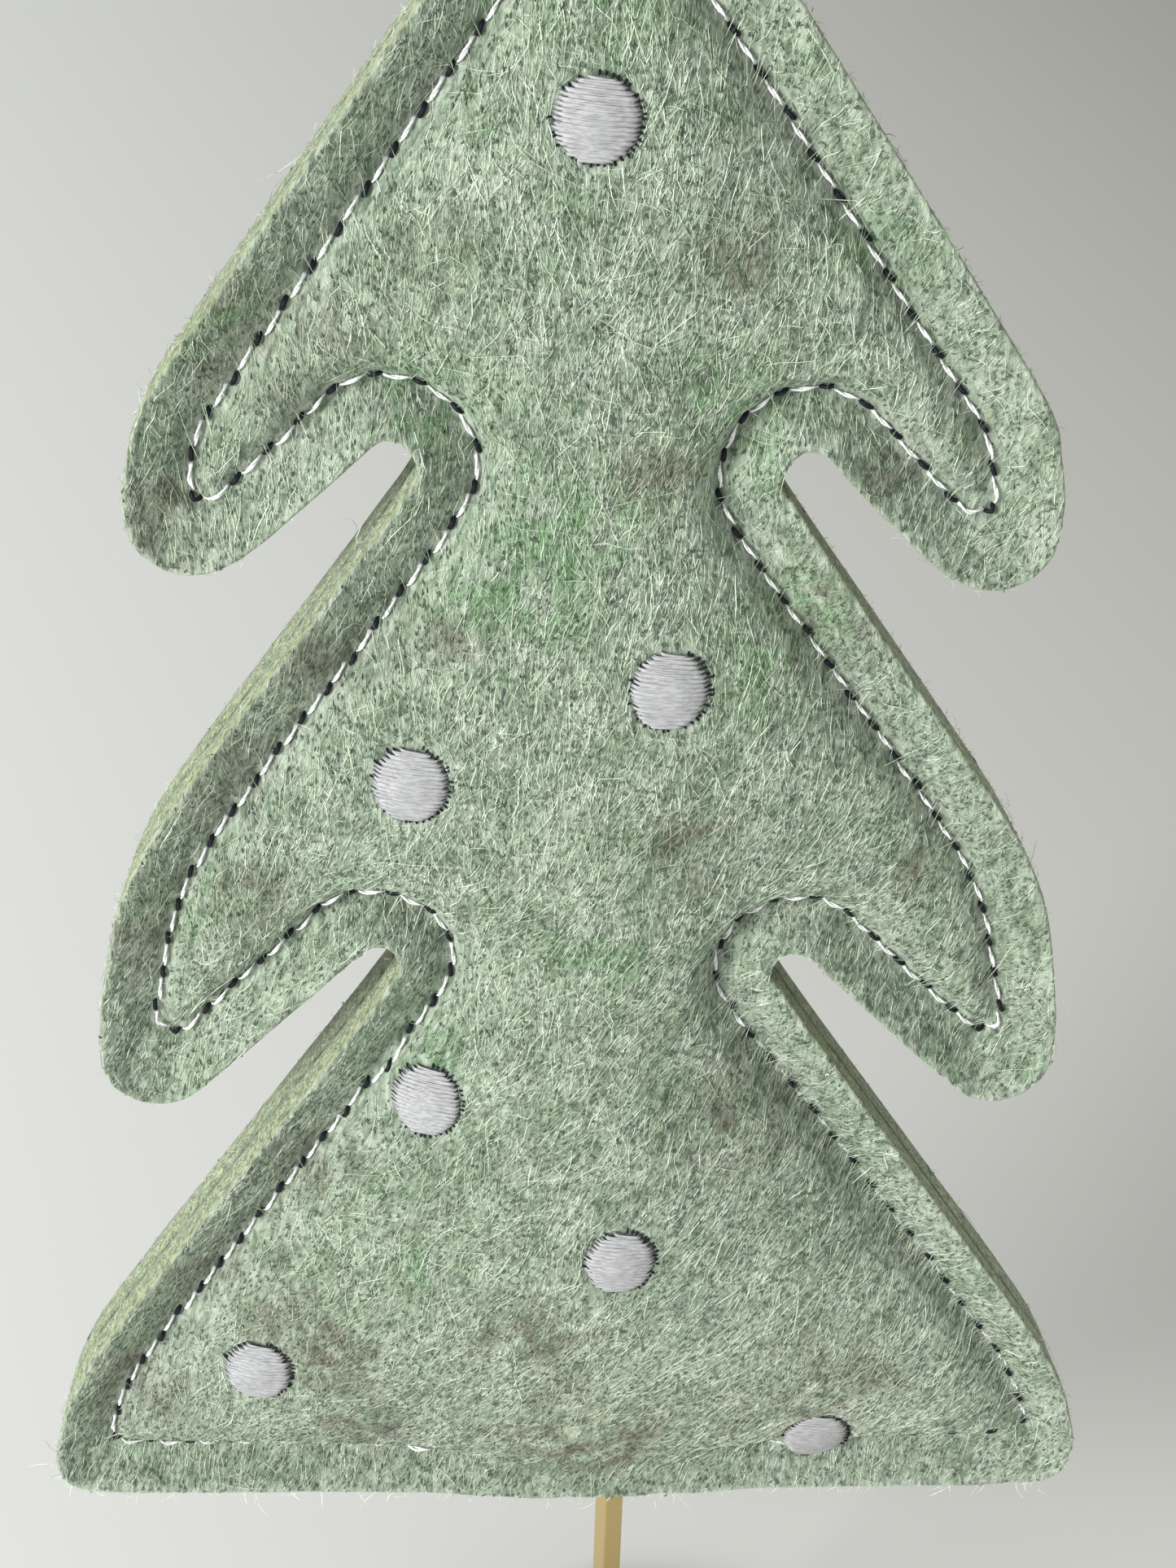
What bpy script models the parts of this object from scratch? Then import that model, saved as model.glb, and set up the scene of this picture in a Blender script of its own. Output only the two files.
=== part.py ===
"""Stuffed felt Christmas tree on a square rod with a round metal foot.

Two thick felt panels are sewn together close to their edge and stuffed. The front panel carries
seven embroidered dots. A thin square rod enters the unsewn mouth in the bottom edge.

Metres, +Z up. The origin is on the ground under the rod, the tree's front faces -Y.
"""

import math

import bmesh
import bpy
import numpy as np
from mathutils import Matrix, Vector
from mathutils.bvhtree import BVHTree
from mathutils.geometry import delaunay_2d_cdt

# Felt tree, seen from the front
FELT_WIDTH = 0.0945
FELT_HEIGHT = 0.150
APEX_ROUND = 0.005
TIP_ROUND = 0.0048
SLOT_ROUND = 0.0019
CORNER_ROUND = 0.0035
TOP_FLARE_ROUND = 0.014
LOW_FLARE_ROUND = 0.038
UNDERSIDE_ROUND = 0.020
RIGHT_TIP_LOWER = 0.0009
RIGHT_UNDERSIDE_LOWER = 0.0008
RIGHT_SLOT_OUT = 0.0009
RIGHT_SLOT_LOWER = 0.0013

# Felt layers, measured from the plane where the two panels meet
FELT_THICKNESS = 0.0030
FELT_OVER_FILLING = 0.0026
FELT_AT_STITCHES = 0.0016
EDGE_CREST = 0.0036
CREST_INSET = 0.0017
SEAM_MARGIN = 0.0043
SEAM_TURN_ROUND = 0.0011
SHOULDER_INSET = 0.0063
CROWN_RISE = 0.0060
CROWN_POWER = 0.85

# Unsewn mouth in the bottom edge, which the rod enters
MOUTH_WIDTH = 0.031
MOUTH_SHIFT = 0.0021
MOUTH_LIFT = 0.0018
MOUTH_FADE = 0.016

# Sewing and embroidery
STITCH_LENGTH = 0.0034
THREAD_RADIUS = 0.0002
STITCH_ARCH = 0.00015
DOT_WIDTH = 0.0060
DOT_HEIGHT = 0.0064
DOT_RISE = 0.00045
DOT_BACKING_INSET = 0.0004
DOT_BACKING_RISE = 0.00022
BACKING_SEAM_INSET = 0.0014

# Stand
ROD_SIDE = 0.0020
ROD_EDGE = 0.00022
ROD_TURN = math.radians(26.6)
ROD_EXPOSED = 0.045
ROD_INSIDE = 0.088
ROD_FROM_TREE_CENTRE = 0.0042
FOOT_DIAMETER = 0.050
FOOT_THICKNESS = 0.0020
FOOT_EDGE = 0.0005
FILLET_RADIUS = 0.0030
FILLET_HEIGHT = 0.0011
PAD_DIAMETER = 0.046
PAD_THICKNESS = 0.0010
FACE_GAP = 0.0003
FILLING_EDGE = 0.0001
CUT_OVERRUN = 0.002
MERGE_DISTANCE = 0.0000001

# Fineness of the felt surfaces
SAG = 0.00018
RUN_STEP = 0.0092
INSIDE_STEP = 0.0066
FINE_SAG = 0.00002
FINE_STEP = 0.001

SHARP_FROM = math.radians(40)

# Heights of the stack
PAD_TOP = PAD_THICKNESS
FOOT_BOTTOM = PAD_TOP + FACE_GAP
FOOT_TOP = FOOT_BOTTOM + FOOT_THICKNESS
FELT_BOTTOM = FOOT_TOP + ROD_EXPOSED
TREE_X = -ROD_FROM_TREE_CENTRE
HALF_WIDTH = FELT_WIDTH / 2
ROUND_FACETS = 64
DOT_FACETS = 16
BACKING_FACETS = 12
PROBES_ROUND_THREAD = 8

# Corners of one half before rounding, from the apex down to the bottom corner: share of the half
# width, share of the felt's height, the rounding, and how far the right-hand corner lies further
# out and lower than its mirror image on the left
HALF_OUTLINE_SHARES = (
    (0.000, 1.0247, APEX_ROUND, 0.0, 0.0),
    (0.686, 0.7160, TOP_FLARE_ROUND, 0.0, 0.0),
    (0.780, 0.5860, TIP_ROUND, 0.0, RIGHT_TIP_LOWER),
    (0.506, 0.6490, UNDERSIDE_ROUND, 0.0, RIGHT_UNDERSIDE_LOWER),
    (0.322, 0.7053, SLOT_ROUND, 0.0, 0.0),
    (0.254, 0.6853, SLOT_ROUND, RIGHT_SLOT_OUT, RIGHT_SLOT_LOWER),
    (0.777, 0.4500, LOW_FLARE_ROUND, 0.0, 0.0),
    (0.884, 0.2390, TIP_ROUND, 0.0, 0.0),
    (0.358, 0.4120, SLOT_ROUND, 0.0, 0.0),
    (0.296, 0.3940, SLOT_ROUND, RIGHT_SLOT_OUT, RIGHT_SLOT_LOWER),
    (0.954, 0.0830, LOW_FLARE_ROUND, 0.0, 0.0),
    (1.000, 0.0000, CORNER_ROUND, 0.0, 0.0),
)

# Dot centres: share of the felt's half width right of its centre line, share of its height
DOT_SHARES = (
    (-0.014, 0.862),
    (0.124, 0.578),
    (-0.288, 0.520),
    (-0.271, 0.313),
    (0.079, 0.217),
    (-0.586, 0.113),
    (0.479, 0.0355),
)

FELT_GREEN = (0.27, 0.34, 0.26, 1.0)
THREAD_WHITE = (0.86, 0.86, 0.85, 1.0)
THREAD_BLACK = (0.012, 0.013, 0.018, 1.0)
FIBRE_WHITE = (0.80, 0.80, 0.78, 1.0)
GOLD = (0.62, 0.47, 0.22, 1.0)
PAD_DARK = (0.03, 0.03, 0.03, 1.0)


def material(name, colour, roughness, metallic):
    """A plain principled material."""
    made = bpy.data.materials.new(name)
    made.use_nodes = True
    shader = made.node_tree.nodes["Principled BSDF"]
    shader.inputs["Base Color"].default_value = colour
    shader.inputs["Roughness"].default_value = roughness
    shader.inputs["Metallic"].default_value = metallic
    made.diffuse_color = colour
    return made


def new_object(name, mesh, collection, surface):
    """Put a mesh in the scene as one named sub-part, shaded smooth between its sharp edges."""
    mesh.materials.clear()
    mesh.materials.append(surface)
    mesh.shade_smooth()
    mesh.set_sharp_from_angle(angle=SHARP_FROM)
    made = bpy.data.objects.new(name, mesh)
    collection.objects.link(made)
    return made


def mesh_from(name, shape):
    """Turn a bmesh into a mesh and free it."""
    mesh = bpy.data.meshes.new(name)
    shape.to_mesh(mesh)
    shape.free()
    return mesh


def tree_corners():
    """Corners of the whole felt outline, counter-clockwise seen from the front."""
    left = []
    right = []
    for across, up, round_off, further_out, lower in HALF_OUTLINE_SHARES:
        place = Vector((across * HALF_WIDTH, up * FELT_HEIGHT))
        left.append((Vector((-place.x, place.y)), round_off))
        right.append((place + Vector((further_out, -lower)), round_off))
    return left + right[:0:-1]


def corner_reaches(corners):
    """How far each rounding runs along its sides, shared out where a side is too short for two."""
    wanted = []
    for index, (place, round_off) in enumerate(corners):
        to_before = corners[index - 1][0] - place
        to_after = corners[(index + 1) % len(corners)][0] - place
        wanted.append(round_off / math.tan(to_before.angle(to_after) / 2))
    limits = [1.0] * len(corners)
    for index, (place, _) in enumerate(corners):
        side = (place - corners[index - 1][0]).length
        share = min(1.0, side / (wanted[index] + wanted[index - 1]))
        limits[index] = min(limits[index], share)
        limits[index - 1] = min(limits[index - 1], share)
    return [reach * limit for reach, limit in zip(wanted, limits)]


def rounded_ring(corners, run_step, sag):
    """Points round a closed outline: straight runs in even steps, corners as arcs."""
    reaches = corner_reaches(corners)
    arcs = []
    for index, (place, _) in enumerate(corners):
        to_before = corners[index - 1][0] - place
        to_after = corners[(index + 1) % len(corners)][0] - place
        half_angle = to_before.angle(to_after) / 2
        reach = reaches[index]
        radius = reach * math.tan(half_angle)
        bisector = (to_before.normalized() + to_after.normalized()).normalized()
        centre = place + bisector * radius / math.sin(half_angle)
        start = place + to_before.normalized() * reach - centre
        turn = math.pi - 2 * half_angle
        if to_before.cross(to_after) > 0:
            turn = -turn
        steps = max(1, math.ceil(abs(turn) / (2 * math.acos(max(0.0, 1 - sag / radius)))))
        rotations = [Matrix.Rotation(turn * step / steps, 2) for step in range(steps + 1)]
        arcs.append([centre + rotation @ start for rotation in rotations])
    points = []
    for index, arc in enumerate(arcs):
        points.extend(arc)
        run_start = arc[-1]
        run = arcs[(index + 1) % len(arcs)][0] - run_start
        pieces = max(1, math.ceil(run.length / run_step))
        points.extend(run_start + run * piece / pieces for piece in range(1, pieces))
    tidy = [points[0]]
    for point in points[1:]:
        if (point - tidy[-1]).length > sag:
            tidy.append(point)
    if (tidy[0] - tidy[-1]).length <= sag:
        tidy.pop()
    return tidy


def distances_to_ring(places, ring):
    """Shortest distance of every point to the sides of a ring."""
    points = np.array([place[:] for place in places])
    starts = np.array([corner[:] for corner in ring])
    sides = np.roll(starts, -1, axis=0) - starts
    away = points[:, None] - starts
    share = (away * sides).sum(axis=2) / (sides ** 2).sum(axis=1)
    nearest = away - sides * np.clip(share, 0, 1)[:, :, None]
    return np.sqrt((nearest ** 2).sum(axis=2)).min(axis=1)


def inside_ring(places, ring):
    """Which points lie inside a closed ring."""
    x, y = np.array([place[:] for place in places]).T
    inside = np.zeros(len(places), bool)
    for here, after in zip(ring, ring[1:] + ring[:1]):
        spans = (here.y > y) != (after.y > y)
        if spans.any():
            crossing = here.x + (y - here.y) * (after.x - here.x) / (after.y - here.y)
            inside ^= spans & (x < crossing)
    return inside


def simplified(points, run_step, sag):
    """Fewer points along a closed line, no further apart than a step or off the line than the sag."""
    ring = points + points[:1]
    kept = []
    start = 0
    while start < len(points):
        kept.append(points[start])
        end = start + 1
        while end < len(points):
            chord = ring[end + 1] - ring[start]
            along = chord.normalized()
            off_line = max(abs(along.cross(place - ring[start])) for place in ring[start + 1:end + 1])
            if chord.length > run_step or off_line > sag:
                break
            end += 1
        start = end
    return kept


def inset_ring(edge, inset, run_step, sag):
    """The line that runs evenly inside a fine ring, pointed where a branch narrows."""
    moved = []
    for before, here, after in zip(edge[-1:] + edge[:-1], edge, edge[1:] + edge[:1]):
        along = (after - before).normalized()
        moved.append(here + Vector((-along.y, along.x)) * inset)
    clear = distances_to_ring(moved, edge) > inset - 2 * FINE_SAG
    return simplified([place for place, free in zip(moved, clear) if free], run_step, sag)


def seam_ring(edge, run_step, sag):
    """The stitched line: even inside the edge, with a small round turn in every branch's tip."""
    core = inset_ring(edge, SEAM_MARGIN + SEAM_TURN_ROUND, FINE_STEP, FINE_SAG)
    return inset_ring(core, -SEAM_TURN_ROUND, run_step, sag)


def staggered_points(ring, step):
    """Even points inside a ring, in staggered rows, clear of its sides."""
    points = []
    row = 0
    height = min(point.y for point in ring) + step / 2
    top = max(point.y for point in ring)
    left = min(point.x for point in ring)
    right = max(point.x for point in ring)
    while height < top:
        across = left + step / 2 * (row % 2)
        while across < right:
            points.append(Vector((across, height)))
            across += step
        height += step * math.sqrt(3) / 2
        row += 1
    clear = inside_ring(points, ring) & (distances_to_ring(points, ring) > step / 2)
    return [point for point, free in zip(points, clear) if free]


def triangulate(rings, loose):
    """Flat triangles that keep every ring as a chain of edges, and their points."""
    points = []
    edges = []
    for ring in rings:
        first = len(points)
        points.extend(ring)
        edges.extend((first + step, first + (step + 1) % len(ring)) for step in range(len(ring)))
    points.extend(loose)
    inside_only = 1
    return delaunay_2d_cdt(points, edges, [], inside_only, MERGE_DISTANCE)[0:3:2]


def inflate(places, triangles, held):
    """Rise of a thin skin blown up over its held points, as a share of its highest rise."""
    stiffness = np.zeros((len(places), len(places)))
    load = np.zeros(len(places))
    for triangle in triangles:
        if all(held[corner] for corner in triangle):
            continue
        first, second, third = (places[corner] for corner in triangle)
        sides = (third - second, first - third, second - first)
        area = abs(sides[0].cross(sides[1])) / 2
        for row, side in zip(triangle, sides):
            load[row] += area / 3
            for column, other in zip(triangle, sides):
                stiffness[row, column] += side.dot(other) / (4 * area)
    free = [index for index in range(len(places)) if not held[index]]
    rise = np.zeros(len(places))
    rise[free] = np.linalg.solve(stiffness[np.ix_(free, free)], load[free])
    return (rise / rise.max()) ** CROWN_POWER


def mouth_share(place):
    """How far the unsewn mouth is open at a place, 1 at its middle on the bottom edge."""
    off_centre = min(1.0, abs(place.x - MOUTH_SHIFT) / (MOUTH_WIDTH / 2))
    fade = max(0.0, place.y - SEAM_MARGIN) / MOUTH_FADE
    return math.cos(off_centre * math.pi / 2) ** 2 * max(0.0, 1 - fade) ** 2


def felt_heights():
    """The felt's shared flat layout with the outer and inner height of every point."""
    fine_edge = rounded_ring(tree_corners(), FINE_STEP, FINE_SAG)
    edge = rounded_ring(tree_corners(), RUN_STEP, SAG)
    crest = inset_ring(fine_edge, CREST_INSET, RUN_STEP, SAG)
    seam = seam_ring(fine_edge, RUN_STEP, SAG)
    shoulder = inset_ring(fine_edge, SHOULDER_INSET, RUN_STEP, SAG)
    loose = staggered_points(shoulder, INSIDE_STEP)
    places, triangles = triangulate((edge, crest, seam, shoulder), loose)

    from_seam = distances_to_ring(places, seam)
    stuffed = inside_ring(places, seam) & (from_seam > FINE_SAG)
    crown = CROWN_RISE * inflate(places, triangles, ~stuffed)
    from_edge = distances_to_ring(places, fine_edge)
    rounded = np.interp(from_edge, (0.0, CREST_INSET), (FELT_THICKNESS, EDGE_CREST))
    grooved = np.interp(from_seam, (0.0, SEAM_MARGIN - CREST_INSET), (FELT_AT_STITCHES, EDGE_CREST))
    cushion = np.interp(from_seam, (0.0, SHOULDER_INSET - SEAM_MARGIN), (FELT_AT_STITCHES, FELT_THICKNESS))
    felt = np.where(stuffed, cushion, np.minimum(rounded, grooved))
    opened = np.array([mouth_share(place) for place in places])
    felt += np.maximum(0.0, FELT_THICKNESS - felt) * np.sqrt(opened)
    lift = opened * MOUTH_LIFT
    outer = felt + crown + lift
    inner = np.where(stuffed, np.maximum(FACE_GAP / 2, felt + crown - FELT_OVER_FILLING), FACE_GAP / 2)
    rim = distances_to_ring(places, shoulder) < FINE_SAG
    filled = rim | inside_ring(places, shoulder)
    return places, triangles, outer, inner + lift, filled, rim


def two_layers(places, triangles, front, back):
    """A closed body between two heights over the same flat layout, extruded from its flat sheet."""
    shape = bmesh.new()
    source = shape.verts.layers.int.new("source")
    corners = [shape.verts.new((place.x + TREE_X, 0.0, place.y + FELT_BOTTOM)) for place in places]
    for index, corner in enumerate(corners):
        corner[source] = index
    for triangle in triangles:
        shape.faces.new([corners[corner] for corner in triangle])
    extruded = bmesh.ops.extrude_face_region(shape, geom=shape.faces[:])
    moved = {part for part in extruded["geom"] if isinstance(part, bmesh.types.BMVert)}
    for corner in shape.verts:
        heights = back if corner in moved else front
        corner.co.y = heights[corner[source]]
    loose = [corner for corner in shape.verts if not corner.link_faces]
    bmesh.ops.delete(shape, geom=loose, context="VERTS")
    bmesh.ops.recalc_face_normals(shape, faces=shape.faces)
    return shape


def felt_panel(name, layout, facing, collection, surface):
    """One felt panel: flat flange, groove along the seam and a stuffed crown; facing is -1 or 1."""
    places, triangles, outer, inner, _, _ = layout
    shape = two_layers(places, triangles, [facing * h for h in outer], [facing * h for h in inner])
    return new_object(name, mesh_from(name, shape), collection, surface)


def fibre_filling(layout, collection, cutters, surface):
    """The loose fibre inside, with a square channel where the rod is pushed in."""
    places, triangles, _, inner, filled, rim = layout
    used = [corner_set for corner_set in triangles if all(filled[corner] for corner in corner_set)]
    front = []
    back = []
    clear_of_backing = DOT_BACKING_RISE + 2 * FACE_GAP
    for height, on_rim in zip(inner, rim):
        front.append(-FILLING_EDGE if on_rim else -max(FILLING_EDGE, height - clear_of_backing))
        back.append(FILLING_EDGE if on_rim else max(FILLING_EDGE, height - FACE_GAP))
    shape = two_layers(places, used, front, back)
    filling = new_object("fibre_filling", mesh_from("fibre_filling", shape), collection, surface)
    channel = square_bar("rod_channel", ROD_SIDE + 2 * FACE_GAP, FELT_BOTTOM - CUT_OVERRUN,
                         FELT_BOTTOM + ROD_INSIDE + FACE_GAP, cutters, surface)
    channel.hide_render = True
    channel.display_type = "WIRE"
    cut = filling.modifiers.new("channel", "BOOLEAN")
    cut.operation = "DIFFERENCE"
    cut.object = channel
    return filling


def square_bar(name, side, bottom, top, collection, surface):
    """An upright square bar turned about its own axis, which is the frame's Z axis."""
    shape = bmesh.new()
    bmesh.ops.create_cube(shape, size=1.0)
    bmesh.ops.scale(shape, vec=(side, side, top - bottom), verts=shape.verts)
    bar = new_object(name, mesh_from(name, shape), collection, surface)
    bar.location.z = (bottom + top) / 2
    bar.rotation_euler.z = ROD_TURN
    return bar


def stand_rod(collection, surface):
    """The square rod, from the foot's underside to well inside the filling."""
    rod = square_bar("stand_rod", ROD_SIDE, FOOT_BOTTOM, FELT_BOTTOM + ROD_INSIDE, collection, surface)
    softened = rod.modifiers.new("edges", "BEVEL")
    softened.width = ROD_EDGE
    softened.segments = 2
    return rod


def turned(name, outline, collection, surface, facets=ROUND_FACETS):
    """A body turned about Z from a profile that runs down its outer side."""
    shape = bmesh.new()
    corners = [shape.verts.new((radius, 0.0, height)) for radius, height in outline]
    for upper, lower in zip(corners, corners[1:]):
        shape.edges.new((upper, lower))
    mesh = bpy.data.meshes.new(name)
    shape.to_mesh(mesh)
    shape.free()
    body = new_object(name, mesh, collection, surface)
    spin = body.modifiers.new("turn", "SCREW")
    spin.steps = facets
    spin.render_steps = facets
    spin.use_merge_vertices = True
    spin.merge_threshold = MERGE_DISTANCE
    return body


def foot_plate(collection, cutters, surface):
    """The round foot with a square hole for the rod's end and softened rims."""
    radius = FOOT_DIAMETER / 2
    plate = turned("foot_plate", (
        (0.0, FOOT_TOP),
        (radius - FOOT_EDGE, FOOT_TOP),
        (radius, FOOT_TOP - FOOT_EDGE),
        (radius, FOOT_BOTTOM + FOOT_EDGE),
        (radius - FOOT_EDGE, FOOT_BOTTOM),
        (0.0, FOOT_BOTTOM),
    ), collection, surface)
    hole = square_bar("rod_hole", ROD_SIDE + 2 * FACE_GAP, FOOT_BOTTOM - CUT_OVERRUN,
                      FOOT_TOP + FILLET_HEIGHT + CUT_OVERRUN, cutters, surface)
    hole.hide_render = True
    hole.display_type = "WIRE"
    cut = plate.modifiers.new("rod hole", "BOOLEAN")
    cut.operation = "DIFFERENCE"
    cut.object = hole
    return hole


def braze_fillet(hole, collection, surface):
    """The small ring of brazing metal that holds the rod on the foot."""
    bottom = FOOT_TOP + FACE_GAP
    ring = turned("braze_fillet", (
        (0.0, bottom + FILLET_HEIGHT),
        (ROD_SIDE, bottom + FILLET_HEIGHT),
        ((ROD_SIDE + FILLET_RADIUS) / 2, bottom + FILLET_HEIGHT / 3),
        (FILLET_RADIUS, bottom + FACE_GAP / 2),
        (FILLET_RADIUS, bottom),
        (0.0, bottom),
    ), collection, surface, ROUND_FACETS // 2)
    cut = ring.modifiers.new("rod hole", "BOOLEAN")
    cut.operation = "DIFFERENCE"
    cut.object = hole
    return ring


def foot_pad(collection, surface):
    """The thin soft pad under the foot."""
    radius = PAD_DIAMETER / 2
    outline = ((0.0, PAD_TOP), (radius, PAD_TOP), (radius, 0.0), (0.0, 0.0))
    return turned("foot_pad", outline, collection, surface)


def surface_tree(bodies):
    """A search tree over the finished faces of bodies that have no modifiers."""
    corners = []
    faces = []
    for body in bodies:
        first = len(corners)
        corners.extend(vertex.co.copy() for vertex in body.data.vertices)
        faces.extend([first + corner for corner in face.vertices] for face in body.data.polygons)
    return BVHTree.FromPolygons(corners, faces)


def height_at(tree, across, up, start, direction):
    """Where a line along Y first meets a surface."""
    hit = tree.ray_cast(Vector((across, start, up)), Vector((0.0, direction, 0.0)))[0]
    return hit.y


def draped_lens(name, centre, inset, rise, lowest, side, tree, collection, surface, facets):
    """A thin oval patch that follows the felt: side is -1 on the front face, 1 on the inner face."""
    shape = bmesh.new()
    bmesh.ops.create_uvsphere(shape, u_segments=facets, v_segments=facets // 2, radius=1.0)
    start = -FELT_HEIGHT if side < 0 else 0.0
    for corner in shape.verts:
        thickness = max(0.0, corner.co.z) * rise
        across = centre.x + corner.co.x * (DOT_WIDTH / 2 - inset)
        up = max(centre.y + corner.co.y * (DOT_HEIGHT / 2 - inset), lowest)
        felt = height_at(tree, across, up, start, -side)
        corner.co = Vector((across, felt + side * (FACE_GAP + thickness), up))
    if side > 0:
        bmesh.ops.reverse_faces(shape, faces=shape.faces)
    return new_object(name, mesh_from(name, shape), collection, surface)


def embroidered_dots(tree, collection, white, black):
    """Seven raised dots on the front, each with its lower thread on the inner face."""
    dots = []
    for number, (across, up) in enumerate(DOT_SHARES, start=1):
        centre = Vector((across * HALF_WIDTH + TREE_X, up * FELT_HEIGHT + FELT_BOTTOM))
        dots.append(draped_lens(f"dot_{number}", centre, 0.0, DOT_RISE, FELT_BOTTOM,
                                -1, tree, collection, white, DOT_FACETS))
        lowest = FELT_BOTTOM + SEAM_MARGIN + BACKING_SEAM_INSET
        draped_lens(f"dot_{number}_bobbin_thread", centre, DOT_BACKING_INSET, DOT_BACKING_RISE,
                    lowest, 1, tree, collection, black, BACKING_FACETS)
    return dots


def seam_path():
    """The stitched line from the mouth's left end round the tree to its right end, in even stitches."""
    fine_edge = rounded_ring(tree_corners(), FINE_STEP, FINE_SAG)
    ring = seam_ring(fine_edge, STITCH_LENGTH, FINE_SAG)
    left_end = MOUTH_SHIFT - MOUTH_WIDTH / 2
    right_end = MOUTH_SHIFT + MOUTH_WIDTH / 2
    on_bottom = [point.y < SEAM_MARGIN + SAG for point in ring]
    first = next(index for index, point in enumerate(ring) if on_bottom[index] and point.x > right_end)
    turned_ring = ring[first:] + ring[:first]
    route = [Vector((right_end, SEAM_MARGIN))]
    for point in turned_ring:
        past_mouth = point.y < SEAM_MARGIN + SAG and left_end < point.x < right_end
        if not past_mouth:
            route.append(point)
    route.append(Vector((left_end, SEAM_MARGIN)))
    lengths = [0.0]
    for before, here in zip(route, route[1:]):
        lengths.append(lengths[-1] + (here - before).length)
    steps = 2 * round(lengths[-1] / STITCH_LENGTH)
    path = []
    reached = 0
    for step in range(steps + 1):
        along = lengths[-1] * step / steps
        while reached < len(route) - 2 and lengths[reached + 1] < along:
            reached += 1
        share = (along - lengths[reached]) / (lengths[reached + 1] - lengths[reached])
        path.append(route[reached].lerp(route[reached + 1], share))
    return path


def seam_thread(name, path, facing, tree, collection, surface):
    """A thread that lies in the seam's groove and dips at every needle hole."""
    turns = [2 * math.pi * probe / PROBES_ROUND_THREAD for probe in range(PROBES_ROUND_THREAD)]
    around = [(math.cos(turn), math.sin(turn)) for turn in turns]
    start = facing * FELT_HEIGHT
    curve = bpy.data.curves.new(name, "CURVE")
    curve.dimensions = "3D"
    curve.bevel_depth = THREAD_RADIUS
    curve.bevel_resolution = 0
    curve.use_fill_caps = True
    spline = curve.splines.new("POLY")
    spline.points.add(len(path) - 1)
    for index, place in enumerate(path):
        across = place.x + TREE_X
        up = place.y + FELT_BOTTOM
        reach = 2 * THREAD_RADIUS
        heights = [height_at(tree, across + reach * x, up + reach * z, start, -facing) for x, z in around]
        highest = max(facing * height for height in heights)
        arch = STITCH_ARCH if index % 2 else 0.0
        clear = highest + FACE_GAP + THREAD_RADIUS + arch
        spline.points[index].co = (across, facing * clear, up, 1.0)
    curve.materials.append(surface)
    thread = bpy.data.objects.new(name, curve)
    collection.objects.link(thread)
    return thread


def build():
    """Make every sub-part in its own object."""
    for old in list(bpy.data.objects):
        bpy.data.objects.remove(old, do_unlink=True)
    parts = bpy.data.collections.new("felt_christmas_tree")
    cutters = bpy.data.collections.new("cutters")
    bpy.context.scene.collection.children.link(parts)
    bpy.context.scene.collection.children.link(cutters)
    felt = material("green_felt", FELT_GREEN, 0.95, 0.0)
    white = material("white_thread", THREAD_WHITE, 0.5, 0.0)
    black = material("black_thread", THREAD_BLACK, 0.6, 0.0)
    fibre = material("white_fibre", FIBRE_WHITE, 0.95, 0.0)
    gold = material("gold_metal", GOLD, 0.3, 1.0)
    dark = material("dark_pad", PAD_DARK, 0.9, 0.0)

    layout = felt_heights()
    front = felt_panel("front_panel", layout, -1, parts, felt)
    back = felt_panel("back_panel", layout, 1, parts, felt)
    fibre_filling(layout, parts, cutters, fibre)
    dots = embroidered_dots(surface_tree([front]), parts, white, black)
    path = seam_path()
    seam_thread("seam_needle_thread", path, -1, surface_tree([front] + dots), parts, white)
    seam_thread("seam_bobbin_thread", path, 1, surface_tree([back]), parts, black)
    stand_rod(parts, gold)
    hole = foot_plate(parts, cutters, gold)
    braze_fillet(hole, parts, gold)
    foot_pad(parts, dark)


if __name__ == "__main__":
    build()
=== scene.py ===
import math

import bmesh
import bpy
import numpy as np
from mathutils import Matrix, Vector, noise
from mathutils.bvhtree import BVHTree
from mathutils.kdtree import KDTree


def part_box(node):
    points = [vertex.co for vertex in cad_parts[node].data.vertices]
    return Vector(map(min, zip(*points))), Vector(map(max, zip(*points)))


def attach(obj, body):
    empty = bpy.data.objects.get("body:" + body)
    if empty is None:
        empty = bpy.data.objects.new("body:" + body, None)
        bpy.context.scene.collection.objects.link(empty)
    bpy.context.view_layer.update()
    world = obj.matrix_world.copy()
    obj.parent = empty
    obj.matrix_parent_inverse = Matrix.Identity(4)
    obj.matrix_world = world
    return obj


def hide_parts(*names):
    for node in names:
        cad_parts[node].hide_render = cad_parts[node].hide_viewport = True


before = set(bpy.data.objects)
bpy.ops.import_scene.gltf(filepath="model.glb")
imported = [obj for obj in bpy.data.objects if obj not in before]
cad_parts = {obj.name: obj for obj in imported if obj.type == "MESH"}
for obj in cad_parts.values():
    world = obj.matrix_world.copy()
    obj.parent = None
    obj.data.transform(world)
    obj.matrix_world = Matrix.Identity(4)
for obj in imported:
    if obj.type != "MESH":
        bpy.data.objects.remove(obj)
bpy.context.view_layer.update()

bl_info = {
    "name": "Felt Christmas Tree",
    "version": (1, 0, 0),
    "blender": (4, 5, 0),
    "location": "View3D > Sidebar > Felt Tree",
    "description": "Stuffed felt Christmas tree with embroidered dots on a gold rod",
    "category": "Object",
}

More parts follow.
